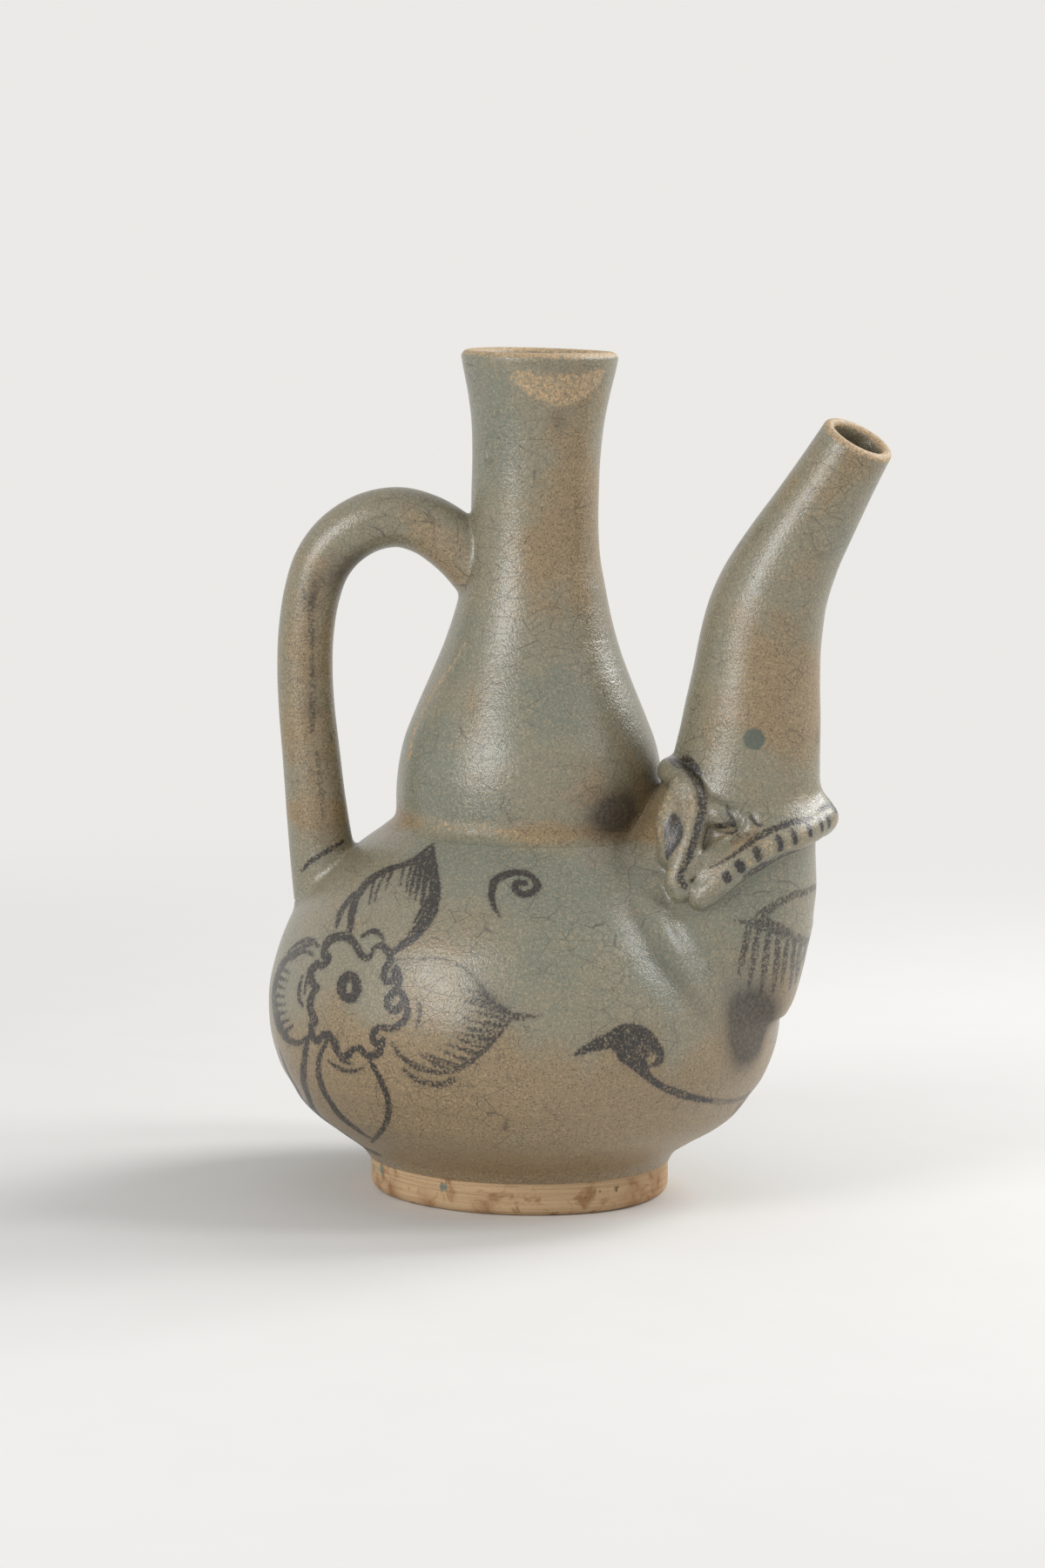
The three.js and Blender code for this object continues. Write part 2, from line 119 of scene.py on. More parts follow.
# The beast's other features: shares as above, then their radii in millimetres.
FACE_PARTS = {
    "eye": (((-0.47, 0.88, 0.42), (-0.5, 1.03, 0.05), (-0.46, 1.17, -0.32)), (3.2, 4.9, 4.1)),
    "upper_fang": (((-0.08, 0.98, 0.22), (0.05, 0.99, 0.15), (0.14, 0.975, 0.1)), (2.8, 3.5, 3.4)),
    "lower_fang": (((0.39, 0.905, 0.12), (0.43, 0.91, -0.09)), (1.5, 2.1)),
    "gum": (((0.47, 0.88, -0.08), (0.3, 0.99, -0.21), (0.1, 1.11, -0.33), (-0.08, 1.2, -0.44)),
            (2.0, 2.8, 3.1, 3.0)),
}

# Swellings (more than 0) and hollows beside the spout's root: angle in degrees, distance from the pot's axis,
# height and size in millimetres, amount in millimetres. They stand on both sides of the spout.
ROOT_SWELLS = (
    (-60, 57.9, 91.8, 3, -0.3), (-60.2, 61, 88.3, 3.2, -0.42), (-60, 64.1, 84.1, 3.4, -0.45),
    (-59, 66.9, 79.5, 3.7, -0.45), (-57, 68.8, 75.7, 3.9, -0.42), (-54.8, 70.1, 72.2, 4.1, -0.4),
    (-52, 71.2, 68.4, 4.4, -0.36), (-49, 72.2, 64.2, 4.7, -0.32), (-46, 72.9, 60, 5, -0.25),
    (-54.6, 59.7, 91.3, 2.6, 0.7), (-54.4, 62.4, 88, 2.8, 0.95), (-53.8, 64.7, 84.8, 2.9, 1),
    (-53, 67, 80.9, 3.1, 0.9), (-51.6, 69, 76.9, 3.3, 0.75), (-49.5, 70.8, 72.5, 3.5, 0.55),
    (-46.8, 72.1, 67.7, 3.8, 0.35),
)
# Small dents and drips of the same kind, each in one place only.
DENTS = (
    (-141.3, 18.3, 213, 1.1, 0.6), (-136.8, 18.2, 211.6, 1.2, -0.5), (-21.6, 62.4, 190.8, 1.6, -0.9),
    (-22.5, 61.3, 187.6, 1.3, 0.35), (-5, 66, 23, 9, -1),
)

# Strokes painted on the pot: its load of pigment, then places as angle in degrees, height and half width
# in millimetres.
POT_STROKES = {
    "upper petal": (0.95, (
        ((-136.1, 78.2, 0.5), (-138.8, 83.5, 1), (-142.1, 89.1, 1.2), (-142.8, 93.4, 1.5),
         (-140.2, 96.5, 1.2), (-132.9, 99.7, 0.9), (-129.3, 104.6, 0.4)),
        ((-129.3, 104.6, 0.3), (-121.4, 98.4, 1), (-116.6, 92.2, 1.4), (-115.9, 87.2, 1.6),
         (-117.2, 83.1, 1.3), (-120.3, 79.3, 0.9), (-123, 76.5, 0.6)),
        ((-142.6, 81, 0.4), (-144.1, 84.1, 1), (-144.6, 86.9, 1.1), (-144.8, 89.9, 0.7)),
        ((-134, 99.3, 0.5), (-132.1, 96.8, 0.3), (-129.7, 94.1, 0.1)),
        ((-131.8, 100, 0.5), (-128.9, 96.2, 0.3), (-126.1, 92.3, 0.1)),
        ((-130.1, 100.8, 0.6), (-126.9, 96.2, 0.4), (-124.1, 91.6, 0.2)),
        ((-129.2, 101.7, 0.7), (-125.1, 96.8, 0.6), (-121.9, 90.9, 0.2)),
        ((-127.9, 102.3, 0.8), (-122.9, 97.2, 0.8), (-119.5, 90.2, 0.3)),
        ((-136.8, 97.5, 0.4), (-135.5, 94.9, 0.3), (-133.6, 92.4, 0.1)),
        ((-138.8, 96.2, 0.4), (-137.1, 92.7, 0.3), (-134.6, 89.1, 0.1)),
        ((-140.6, 94.1, 0.3), (-138.4, 91.4, 0.3), (-136, 88.5, 0.1)),
        ((-117.9, 92.1, 0.8), (-118.6, 88.5, 0.5), (-119.1, 85.4, 0.2)),
        ((-116.9, 87.3, 0.7), (-118.2, 84.6, 0.4), (-119.8, 82.2, 0.2)),
    )),
    "flower disc": (0.9, (
        ((-143.8, 73.9, 1.1), (-143.9, 76.7, 1.4), (-141.2, 78.8, 1.1), (-136.5, 79.1, 0.9),
         (-133.7, 77.6, 0.8)),
        ((-133.7, 77.6, 0.8), (-131, 75.4, 0.8), (-128.7, 75, 0.7), (-128.1, 76.5, 0.5)),
        ((-128.4, 77.4, 0.4), (-126.6, 78.6, 0.6), (-124, 77.5, 0.8), (-122.6, 75.1, 0.9),
         (-123.3, 72.9, 0.8)),
        ((-123.3, 72.9, 0.7), (-123.3, 70.6, 0.8), (-121.9, 69.3, 0.7), (-120.5, 70.5, 0.7),
         (-121.1, 72.5, 0.6)),
        ((-120.6, 73.7, 0.5), (-119.2, 71.1, 0.8), (-119.4, 68.2, 0.8), (-120.5, 66.4, 0.8),
         (-121.6, 64.6, 0.7)),
        ((-121.6, 64.6, 0.7), (-120.7, 62.6, 0.8), (-118.6, 62.2, 0.9), (-117.1, 64.3, 1),
         (-117.6, 66.3, 0.8), (-119.5, 67, 0.6), (-120.4, 65.3, 0.6)),
        ((-116.7, 64.8, 0.7), (-116, 61.8, 0.8), (-117, 58.8, 0.8), (-119.5, 57, 0.7), (-122.2, 56.9, 0.6)),
        ((-122.2, 56.9, 0.6), (-123.9, 55.2, 0.8), (-123.8, 52.7, 0.9), (-122.2, 52, 0.7),
         (-121.4, 53.8, 0.6)),
        ((-121.6, 52.5, 0.7), (-122.5, 49.9, 0.8), (-124.3, 48.4, 0.8), (-126.2, 48.6, 0.8),
         (-127.6, 50.1, 0.8)),
        ((-127.6, 50.1, 0.5), (-129.6, 49.5, 0.7), (-130.9, 47.8, 0.8), (-132.9, 46.7, 0.8),
         (-134.4, 47.9, 0.7)),
        ((-134.4, 47.9, 0.8), (-135.1, 50.3, 1.1), (-136.7, 52, 1), (-139.2, 51.7, 0.8), (-140.9, 49.6, 0.7)),
        ((-140.9, 49.6, 0.8), (-142.8, 50.7, 1.3), (-143.4, 53.1, 1.2), (-141.7, 55.5, 0.8)),
        ((-141.7, 55.5, 1), (-143.5, 57.6, 1.3), (-144.3, 60.4, 1.4), (-143.8, 62.9, 1), (-142.2, 64.4, 0.7)),
        ((-142.2, 64.4, 0.6), (-145, 65.6, 1), (-146.7, 68, 1.5), (-145.1, 70.5, 1.1)),
        ((-145.1, 70.5, 0.5), (-142.5, 70.9, 0.8), (-141.2, 72.6, 1), (-143.8, 73.9, 0.7)),
        ((-132.6, 80.3, 0.5), (-130.4, 81.8, 0.7), (-127.7, 81.5, 0.5), (-125.8, 80.1, 0.2)),
    )),
    "flower heart": (1, (
        ((-133, 69.4, 1.1), (-130.9, 68.5, 1.1), (-129.9, 66.5, 1.3), (-130.2, 64.3, 1.2), (-131.8, 63.4, 1),
         (-133.6, 64.3, 1.2), (-134.6, 66.3, 1.4), (-134.3, 68.2, 1.4), (-133, 69.4, 1.2)),
    )),
    "left petal": (0.8, (
        ((-149.6, 75.5, 0.3), (-154.8, 73.3, 0.7), (-160.3, 69.8, 1), (-164.5, 65.2, 1.9),
         (-165.4, 59.5, 2.1), (-162.4, 52.8, 2.3), (-156.7, 48, 1.3), (-150, 47.2, 0.6), (-144.3, 50.4, 0.5)),
        ((-162.5, 70.6, 0.4), (-156.6, 74.7, 0.6), (-151, 76.2, 0.5), (-146.4, 75.1, 0.3)),
        ((-158.4, 68.9, 0.3), (-155.6, 71.5, 0.6), (-151.5, 73, 0.4), (-147.8, 72.7, 0.3)),
        ((-162.8, 66, 0.6), (-156.9, 65.8, 0.2)),
        ((-163.8, 63.3, 0.6), (-157.2, 63.4, 0.2)),
        ((-163.6, 60.9, 0.6), (-157.3, 61.2, 0.2)),
        ((-163.1, 58.2, 0.6), (-157, 59, 0.2)),
        ((-162.5, 55.5, 0.6), (-156, 57, 0.2)),
        ((-161, 53.1, 0.6), (-154.9, 55, 0.2)),
        ((-159.2, 50.7, 0.6), (-153.4, 53.3, 0.2)),
        ((-156.1, 48.9, 0.6), (-151.6, 51.9, 0.2)),
        ((-150.1, 66.1, 0.5), (-150.1, 62.9, 0.8), (-149.2, 60.1, 0.7), (-147.3, 58.5, 0.3)),
        ((-147.1, 67.9, 0.4), (-147.6, 65.1, 0.6), (-147.4, 62.2, 0.5)),
    )),
    "lower petals": (0.85, (
        ((-145.1, 49.3, 0.8), (-148.4, 41.4, 1.1), (-153.6, 32.5, 1.4), (-159.8, 23, 2), (-157.5, 18.4, 1.9),
         (-158.7, 14.4, 1.7), (-148.7, 13.6, 1.1)),
        ((-137.7, 50.3, 0.5), (-142.1, 42.8, 0.8), (-143.3, 35.3, 1.2), (-142.4, 28.8, 1.3),
         (-139.4, 24.8, 1.5), (-136.5, 21.6, 1.1)),
        ((-125.3, 48, 0.5), (-122.8, 41.8, 0.8), (-121.8, 35.7, 0.8), (-124.5, 29.3, 0.6),
         (-129.3, 24.2, 0.5), (-139, 19, 0.4)),
        ((-163, 42, 0.6), (-163.2, 34.5, 1.7), (-165.9, 26.7, 1.9), (-158.7, 22.5, 1.9), (-160.4, 17.8, 1.5),
         (-155.6, 15.4, 0.8)),
        ((-137.9, 44.4, 0.3), (-134.1, 42.9, 0.5), (-130.2, 43.1, 0.4), (-126.9, 44.7, 0.2)),
        ((-135.5, 48.4, 0.4), (-133, 45.6, 0.5), (-130.4, 45.1, 0.2)),
    )),
    "right petal": (0.68, (
        ((-121.7, 75.2, 0.1), (-114.6, 76.5, 0.2), (-108.6, 76.8, 0.2), (-103.5, 74.7, 0.2),
         (-99.8, 70.8, 0.3), (-96.8, 66.5, 0.5), (-93.7, 63.9, 0.6)),
        ((-94.1, 63.7, 0.6), (-91.8, 62.8, 0.8), (-89.6, 62.9, 0.6), (-87.7, 63.2, 0.3), (-86.2, 63.4, 0.1)),
        ((-119.4, 52.9, 0.3), (-116.6, 49, 0.6), (-113.1, 46.8, 0.7), (-108.3, 46.1, 0.7),
         (-103.5, 47.8, 0.6), (-99.4, 51.9, 0.6), (-96.1, 56.7, 0.6), (-93.3, 61.6, 0.6)),
        ((-116.7, 45.8, 0.3), (-113.9, 43.4, 0.6), (-110.3, 42.3, 0.7), (-107, 42.6, 0.7),
         (-105.2, 44.1, 0.6)),
        ((-114.1, 66.1, 0.2), (-113.2, 63.8, 0.5), (-113, 61.5, 0.4), (-113.4, 58.3, 0.2)),
        ((-93.5, 63.9, 0.8), (-96.6, 64.7, 0.6), (-100.2, 65.7, 0.4), (-103, 66.4, 0.2)),
        ((-94.4, 62.2, 0.5), (-98, 63, 0.4), (-101.7, 63.7, 0.1)),
        ((-94.9, 60.3, 0.5), (-98.5, 60.6, 0.45), (-103, 61.7, 0.15)),
        ((-95.8, 58.2, 0.5), (-99.9, 58.6, 0.4), (-104.1, 59.7, 0.1)),
        ((-96.7, 56.2, 0.5), (-100.4, 56.7, 0.45), (-104.6, 57.8, 0.15)),
        ((-97.7, 54.2, 0.5), (-101.3, 54.9, 0.4), (-105, 56.3, 0.1)),
        ((-99.2, 52.1, 0.5), (-102.8, 53.1, 0.45), (-106.7, 54.2, 0.15)),
        ((-101.2, 49.8, 0.5), (-104.5, 51, 0.4), (-108.2, 52.5, 0.1)),
        ((-103.9, 48.3, 0.5), (-107, 49.2, 0.45), (-111.4, 50.9, 0.15)),
        ((-106.7, 46.9, 0.5), (-109.2, 48.5, 0.4), (-112.7, 50.8, 0.1)),
        ((-95.2, 65.3, 0.7), (-98.7, 66.3, 0.5), (-101.7, 67.1, 0.2)),
        ((-96.8, 67.3, 0.6), (-99.9, 68.6, 0.4), (-102.8, 69.2, 0.1)),
    )),
    "scroll": (1, (
        ((-96.6, 88.7, 0.2), (-98.7, 91.1, 0.5), (-100.1, 94.3, 0.7), (-99.8, 97.4, 0.9), (-96.6, 99, 1),
         (-92.1, 99.5, 0.9), (-88.4, 98.6, 0.7), (-86.6, 96.5, 0.8)),
        ((-86.6, 96.5, 0.8), (-88.2, 95, 0.9), (-90.7, 94.3, 0.9), (-93.1, 95.3, 0.7), (-93, 97, 0.9),
         (-90.8, 97.1, 0.8)),
    )),
    "leaf spray": (0.86, (
        ((-79.1, 52.7, 0.2), (-76.2, 54.3, 0.9), (-72.7, 55.9, 1.5), (-68.8, 56.9, 1.7), (-64.2, 56.4, 1.7),
         (-60.9, 53.9, 1.2)),
        ((-71.4, 58, 0.5), (-68.7, 58.8, 1.2), (-65.9, 58.4, 1.7), (-62.7, 56.5, 1.7), (-60, 53, 1.2)),
        ((-60, 54, 0.8), (-59, 51.5, 1), (-59.3, 49, 0.9), (-60.8, 48.7, 0.4)),
        ((-70.1, 54.8, 1), (-67.6, 52.5, 1.9), (-65.1, 50.3, 1.9), (-63.2, 47.9, 1.5), (-61.9, 45.7, 1)),
        ((-71.4, 55.9, 0.7), (-68.1, 54.9, 1.4), (-65.2, 53.3, 1.4), (-62.8, 51.8, 1)),
        ((-62.4, 46, 0.8), (-58.3, 42.5, 0.8), (-52.5, 39.2, 0.8), (-45.1, 36.3, 0.75), (-39, 34.6, 0.5)),
    )),
    "faint stem": (0.55, (
        ((-39, 34.6, 0.7), (-33, 33.5, 0.7), (-25, 32.6, 0.8), (-18, 33.2, 0.7)),
        ((-12.9, 35.6, 1.1), (-13.5, 31.5, 1.5), (-20.9, 29.6, 1.2), (-18.2, 24.4, 1), (-23.5, 22, 0.7)),
    )),
}
# Runs and lines on the handle and down the bulb: load, then places as angle in degrees, distance from the
# pot's axis, height and half width in millimetres.
HANDLE_STROKES = (
    (0.8, ((-173.7, 65.5, 92.3, 0.3), (-172.6, 64.1, 94.3, 0.4), (-171.4, 61.8, 96.5, 0.5),
           (-170.9, 57.8, 99.1, 0.5), (-172.9, 53.4, 101.4, 0.3))),
    (0.52, ((-172.8, 62.8, 175.6, 0.6), (-172.9, 63.9, 170.3, 0.7), (-173, 63.8, 160.5, 0.5),
            (-173.1, 63.3, 150.5, 0.5), (-172.9, 63.1, 140.4, 0.8), (-172.5, 63, 133, 0.5))),
    (0.42, ((-171.5, 61.5, 127, 0.4), (-171, 60.5, 118, 0.6), (-171, 60, 108, 0.4))),
)
BUFF_STREAK = (
    (-140.6, 24.9, 160.6, 0.3), (-146.8, 27, 154.4, 0.8), (-155, 29.5, 148.2, 0.9), (-159.5, 32.4, 141, 0.9),
    (-160.5, 35.4, 134, 1.3), (-158.8, 37.3, 127.7, 1.8),
)
# Strokes on the spout and the beast's face, the same on both sides: out along the spout's plane, to the side,
# height and half width in millimetres.
SPOUT_STROKES = {
    "beard": (0.62, (
        ((85, -1.1, 93.5, 0.6), (81.9, 13, 92.7, 0.8), (77.1, 20.2, 89.6, 1), (72.7, 24.5, 85.7, 1.1)),
        ((72.7, 24.5, 85.7, 1.1), (76.4, 20.8, 85, 1.3), (79.8, 15.7, 83, 1.2), (82.5, 8.3, 80.1, 0.9),
         (83.1, -2.4, 77.6, 0.7)),
        ((74.7, 22.7, 88.1, 0.7), (76.8, 20.4, 85.9, 0.9), (79.1, 17.1, 84.6, 0.7)),
        ((72.3, 24.8, 85.3, 0.7), (71.3, 25.1, 78.3, 0.8), (70.4, 25.6, 71.4, 0.4)),
        ((74.4, 22.8, 83.6, 0.8), (73.5, 22.4, 76.1, 0.8), (72.3, 22.6, 68, 0.4)),
        ((76.8, 19.9, 82.4, 0.8), (75.8, 19.2, 74.7, 0.9), (74.6, 18.4, 65.6, 0.5)),
        ((78.8, 16.6, 80.5, 0.8), (78, 15.3, 72.8, 0.9), (76.8, 14.5, 65.6, 0.5)),
        ((80.6, 13.1, 79.6, 0.8), (79.6, 12.3, 73, 0.9), (78.4, 11.7, 66.8, 0.4)),
        ((81.8, 9.7, 78.7, 0.9), (80.9, 8.1, 71.9, 0.9), (79.7, 6.5, 65.6, 0.5)),
        ((82.7, 5.6, 77.7, 1), (81.7, 4.8, 72, 1), (80.6, 2.7, 66.6, 0.6)),
        ((83.1, 0.7, 77, 0.9), (81.8, -2.5, 71.4, 0.9), (80.6, -2.9, 66.7, 0.5)),
        ((68.7, 27.7, 86.9, 0.1), (70.4, 26.4, 86.3, 0.3), (72.3, 24.9, 86.2, 0.2)),
    )),
    "eyes": (0.95, (
        ((50.6, 29.2, 115.1, 0.7), (50.8, 29.8, 113.2, 1.7), (51, 30.5, 111.1, 2.1), (51, 31.1, 109, 2),
         (50.5, 31.7, 106.8, 1.4), (49.9, 32.3, 104.1, 0.5)),
    )),
    "lip lines": (0.78, (
        ((44.6, 12.3, 129.5, 0.7), (49, 16.5, 128.9, 2.1), (52.5, 19.3, 127.4, 2), (55.4, 22.4, 125, 1.4),
         (57.4, 24.8, 121.7, 1.1), (58.2, 26.9, 118, 0.9), (58.2, 29.4, 113.9, 0.85),
         (57.7, 31.1, 110.3, 0.8), (56.6, 32.9, 105.3, 0.75), (55.2, 34.4, 101.5, 0.7),
         (54.6, 35.2, 98.6, 0.65), (56, 34.9, 96.5, 0.6)),
        ((62, 32, 101.6, 0.2), (66.2, 31.2, 104, 0.35), (70.2, 29, 107.2, 0.5), (73.6, 25.9, 110.3, 0.75),
         (77.9, 22.2, 112.7, 0.85), (81.7, 18.6, 114.2, 0.8), (84.8, 14.9, 115.1, 0.6),
         (86.9, 11.7, 115.4, 0.4)),
        ((87.6, 8.3, 117, 0.2), (89, 3.4, 118.3, 0.8), (90.3, 0.9, 117.1, 1.2)),
    )),
    "teeth": (1, (
        ((67.2, 33.1, 100.2, 0.85), (67.7, 33, 99.2, 0.85)),
        ((70.5, 31.4, 103.2, 1.05), (71.2, 31.2, 101.9, 1.05)),
        ((74.6, 28.3, 107.2, 0.8), (75.4, 28.3, 105, 0.8)),
        ((79.6, 23.5, 110.4, 0.7), (80.5, 23.5, 107.1, 0.7)),
        ((83, 20.1, 112.2, 0.6), (83.9, 20, 108.9, 0.6)),
        ((86.3, 15.1, 113.9, 0.6), (87.3, 15.3, 110.8, 0.6)),
        ((88.6, 9.8, 114.6, 0.6), (89.6, 9.7, 111.5, 0.6)),
        ((89.8, 6.4, 115.2, 0.6), (90.8, 6.1, 112.2, 0.6)),
    )),
    # A painted shadow under the lower lip, laid as a stroke like the painting.
    "shade under the lip": (0.85, (
        ((72.2, 29.7, 99.2, 0.4), (74.6, 27.8, 100.5, 1), (77.6, 25.2, 102, 1.2),
         (81.4, 20.3, 104, 1.1), (84.4, 14.5, 105.6, 0.9), (87, 7, 106.6, 0.6)),
    )),
    "fang rings": (1, (
        ((62.6, 25.5, 113.2, 0.6), (64.8, 26.5, 113.2, 0.6), (66.6, 26.6, 113.8, 0.6),
         (68.3, 26.1, 113.1, 0.4)),
        ((65.2, 24.4, 118.6, 0.3), (65.9, 26.1, 117.1, 0.5), (67, 26.3, 115.5, 0.5),
         (68.3, 26.1, 113.3, 0.3)),
        ((68.7, 25.9, 112.8, 0.2), (67.3, 25.9, 111.5, 0.3), (64.8, 25, 111, 0.2)),
        ((71.2, 23, 116.1, 0.2), (72.3, 23.2, 115.4, 0.4), (73.1, 23.3, 114.3, 0.3),
         (74.5, 22.9, 113.8, 0.2)),
    )),
}

# Fields of warm (more than 0) and cool (less than 0) glaze: angle in degrees, distance from the pot's axis,
# height and size in millimetres, amount.
FIELDS = (
    (-55.5, 20.3, 232.4, 12.4, 0.5), (-53.5, 18.4, 205.1, 12.4, 0.5), (-123.3, 19.1, 224.4, 10.9, -0.6),
    (-138.8, 18.3, 204.4, 10.6, -0.5), (-92.8, 19.2, 185.4, 9.9, 0.2), (-5.5, 18.9, 184.5, 19.2, 0.5),
    (-134.8, 23.5, 164.9, 8.9, -0.3), (-122, 31, 144, 5, 0.6), (-119.5, 35.2, 133, 4, 0.55),
    (-115.5, 37.4, 124, 4, 0.45), (-143.7, 36.5, 130.3, 12.8, -0.7), (-123.9, 38.4, 114.3, 10.9, -0.5),
    (-71.8, 31.9, 142.1, 10.3, -0.1), (-43.4, 36.2, 132, 10.4, 0.3), (-77.9, 38.5, 115.7, 9.9, 0.15),
    (-80, 30, 152, 12, -0.35), (-33.1, 39.4, 114.2, 6.9, 0.3), (-92.3, 38.3, 108.7, 8, 0.35),
    (-58.6, 39.5, 107.6, 10, 0.4), (-60.5, 47, 101.7, 10.9, -0.5), (-91.7, 46.5, 101.4, 10.2, -0.6),
    (-115.9, 47.9, 100.5, 9.1, -0.3), (-106.4, 70.6, 72.9, 12.4, 0.3), (-133.6, 71.6, 69.5, 11.5, -0.15),
    (-148.1, 69.7, 34.3, 19.2, 0.7), (-131, 66.7, 29.7, 15.3, 0.8), (-110.9, 67.1, 30.2, 17.5, 0.8),
    (-89.7, 66.5, 29, 16.9, 0.75), (-68.6, 67.4, 31.3, 18.1, 0.5), (-50.7, 69.7, 35, 16.3, 0.4),
    (-31.9, 72.6, 42.4, 15.5, 0.6), (-80.9, 74.5, 57.6, 12.1, -0.2), (-97.5, 73.7, 44.8, 12.6, 0.3),
    (-57.4, 70.7, 72.9, 10.6, -0.35), (-49.2, 74, 57.8, 11.4, 0.2), (-40.3, 75, 96.2, 11.6, -0.4),
    (-49.4, 69.9, 76.9, 9.3, -0.2), (-23.5, 80.2, 69.2, 10.6, 0.2), (-21.2, 83.7, 86.5, 9.3, 0.2),
    (-14.3, 71.2, 37.5, 17.1, 0.6), (-29.5, 72.7, 158.8, 11, 0.8), (-26.9, 79.9, 136.8, 11.8, 0.7),
    (-28.6, 66.1, 177.9, 8.1, -0.1), (-23.8, 84.3, 188.4, 7.6, 0.6), (-25.2, 76.9, 197.9, 9, -0.2),
    (-23.5, 88.7, 208.1, 7.3, 0.5), (-20.6, 99.7, 215.7, 5.3, 0.6), (-31, 61.2, 158.1, 5.5, -0.3),
    (-33.5, 60.6, 138.5, 5.5, 0.3), (-20.1, 83.8, 148.5, 8.3, 0.6), (-171.8, 36.6, 200.9, 11.9, 0.15),
    (-171.6, 54, 193.2, 8.9, 0.15), (-173.6, 66, 177.9, 7.8, 0.45), (-173.3, 66.8, 152.9, 8.5, 0.75),
    (-172.6, 65.3, 130.4, 8.5, 0.75), (-171.7, 62.5, 110.4, 8, 0.65), (-163.6, 29.6, 188.9, 6.3, 0.6),
    (-164.6, 24.1, 178.9, 6.4, 0.5),
)
WORN_FIELDS = (
    (-109, 20.8, 237.2, 1.8, 0.45), (-101, 20.6, 236.2, 2.4, 0.55), (-91, 20.4, 234.6, 2.8, 0.7),
    (-80, 20.2, 232.8, 3, 0.75), (-68, 20.2, 232, 3, 0.75), (-56, 20.3, 233.6, 3, 0.7),
    (-45, 20.6, 235.6, 2.7, 0.6), (-36, 20.9, 237.4, 2.2, 0.5), (-72, 20.4, 236.2, 2.4, 0.3),
    (-172, 38.4, 109.3, 2.8, 0.38), (-162, 38.4, 110, 2.8, 0.38), (-152, 38.4, 110.2, 2.8, 0.38),
    (-142, 38.4, 110.2, 2.8, 0.38), (-132, 38.3, 110, 2.8, 0.38), (-123, 38.3, 110, 2.8, 0.38),
    (-114, 38.2, 110, 2.8, 0.4), (-105, 38.2, 109.6, 3, 0.4), (-96, 38.3, 108.5, 3, 0.4),
    (-87.5, 38.9, 107.5, 3, 0.38), (-78.5, 39.8, 106.9, 2.8, 0.34), (-69.5, 40.2, 106.7, 2.6, 0.28),
)
# The same on the foot ring, whose distance from the axis is the same for all: stains, glaze runs and chips.
FOOT_OUT = 42.5
FOOT_STAINS = (
    (-147, 2.2, 2.2, 0.9), (-160, 2.5, 2, 0.8), (-128, 1.2, 2.4, 0.6), (-104, 1.2, 2.6, 0.5),
    (-40, 3, 4, 0.8), (-22, 4, 4, 0.8),
)
FOOT_RUNS = ((-166, 6.5, 2, 0.8), (-157, 7.5, 2, 0.75), (-120, 7, 1.5, 0.8), (-57, 8, 2, 0.55))
FOOT_CHIPS = ((-64.6, 5.3, 1, 0.75), (-58, 6.2, 1.1, 0.75), (-50.6, 7, 1.2, 0.85), (-90, 4.5, 0.9, 0.75))
MOUTH_FIELDS = (
    (-35.9, 77, 109.9, 2, 0.5), (-38.2, 75, 107.8, 2.2, 0.5), (-41, 73, 104.4, 2.4, 0.45),
    (-43, 70.8, 101, 2.4, 0.4), (-37.4, 70.6, 111.9, 1.8, 0.5), (-36, 71, 116.4, 1.6, 0.3),
    (-45, 60, 118, 4, 0.3), (-34.5, 76.5, 113, 1.6, 0.5),
)
BLOT_FIELDS = ((-31.1, 73.4, 137.3, 2.2, 1.25),)
# Dark patches: angle in degrees, distance from the pot's axis, height and size in millimetres, amount. Most
# are smoke stains and brown drips; the patch low on the bulb's right is partly the spout's painted shadow,
# the one under the spout's root partly painted shade in its hollow, and those inside the handle's upper bend
# partly painted shade.
SMOKE_AND_SHADE_FIELDS = (
    (-50, 38.5, 114, 4.8, 1.15), (-59, 38.6, 113.8, 4.2, 0.6), (-42, 38.5, 115, 4, 0.5),
    (-30.5, 74.7, 56, 7, 1.6), (-34.5, 74.5, 60.5, 5, 0.7), (-26.5, 75.6, 52, 5.5, 0.8),
    (-33, 74, 50, 5, 0.5), (-175, 56, 178.5, 3.4, 0.6), (-176, 50.5, 182.5, 3, 0.5),
    (-173, 62.5, 176, 2.4, 0.3), (-17, 85.2, 136.8, 1.6, 0.5), (-70.8, 19.1, 224.2, 1.8, 0.4),
    (-72, 20.6, 239.2, 1.4, 0.4), (-84, 20.6, 239.4, 1.2, 0.35), (-100.5, 71.3, 71.5, 1.9, 0.25),
    (-97.6, 72.2, 68.4, 2, 0.4), (-95, 72.8, 65.4, 1.8, 0.4), (-173, 63.8, 170, 2.4, 0.3),
    (-173, 63.6, 160, 2, 0.2), (-173, 63.3, 150, 2, 0.22), (-172.9, 63.1, 139.5, 2.4, 0.42),
    (-171.5, 61.5, 126, 2, 0.2), (-170, 59, 104, 4, 0.25),
)

# Fillets of slip in millimetres where pieces are luted on: the spout's at the belly and at the bulb, the
# handle's at its head and at its foot, the lower lip's below it and above it, and those of other pieces.
SPOUT_FILLETS, HANDLE_FILLETS, LOWER_LIP_FILLETS = (9.0, 2.5), (1.8, 2.8), (1.9, 7.9)
FILLETS = {"upper_lip": 1.8, "gum_right": 4.0, "gum_left": 4.0}
PLAIN_FILLET = 2.4
# A height between the handle's head and foot.
HANDLE_MIDDLE = 140
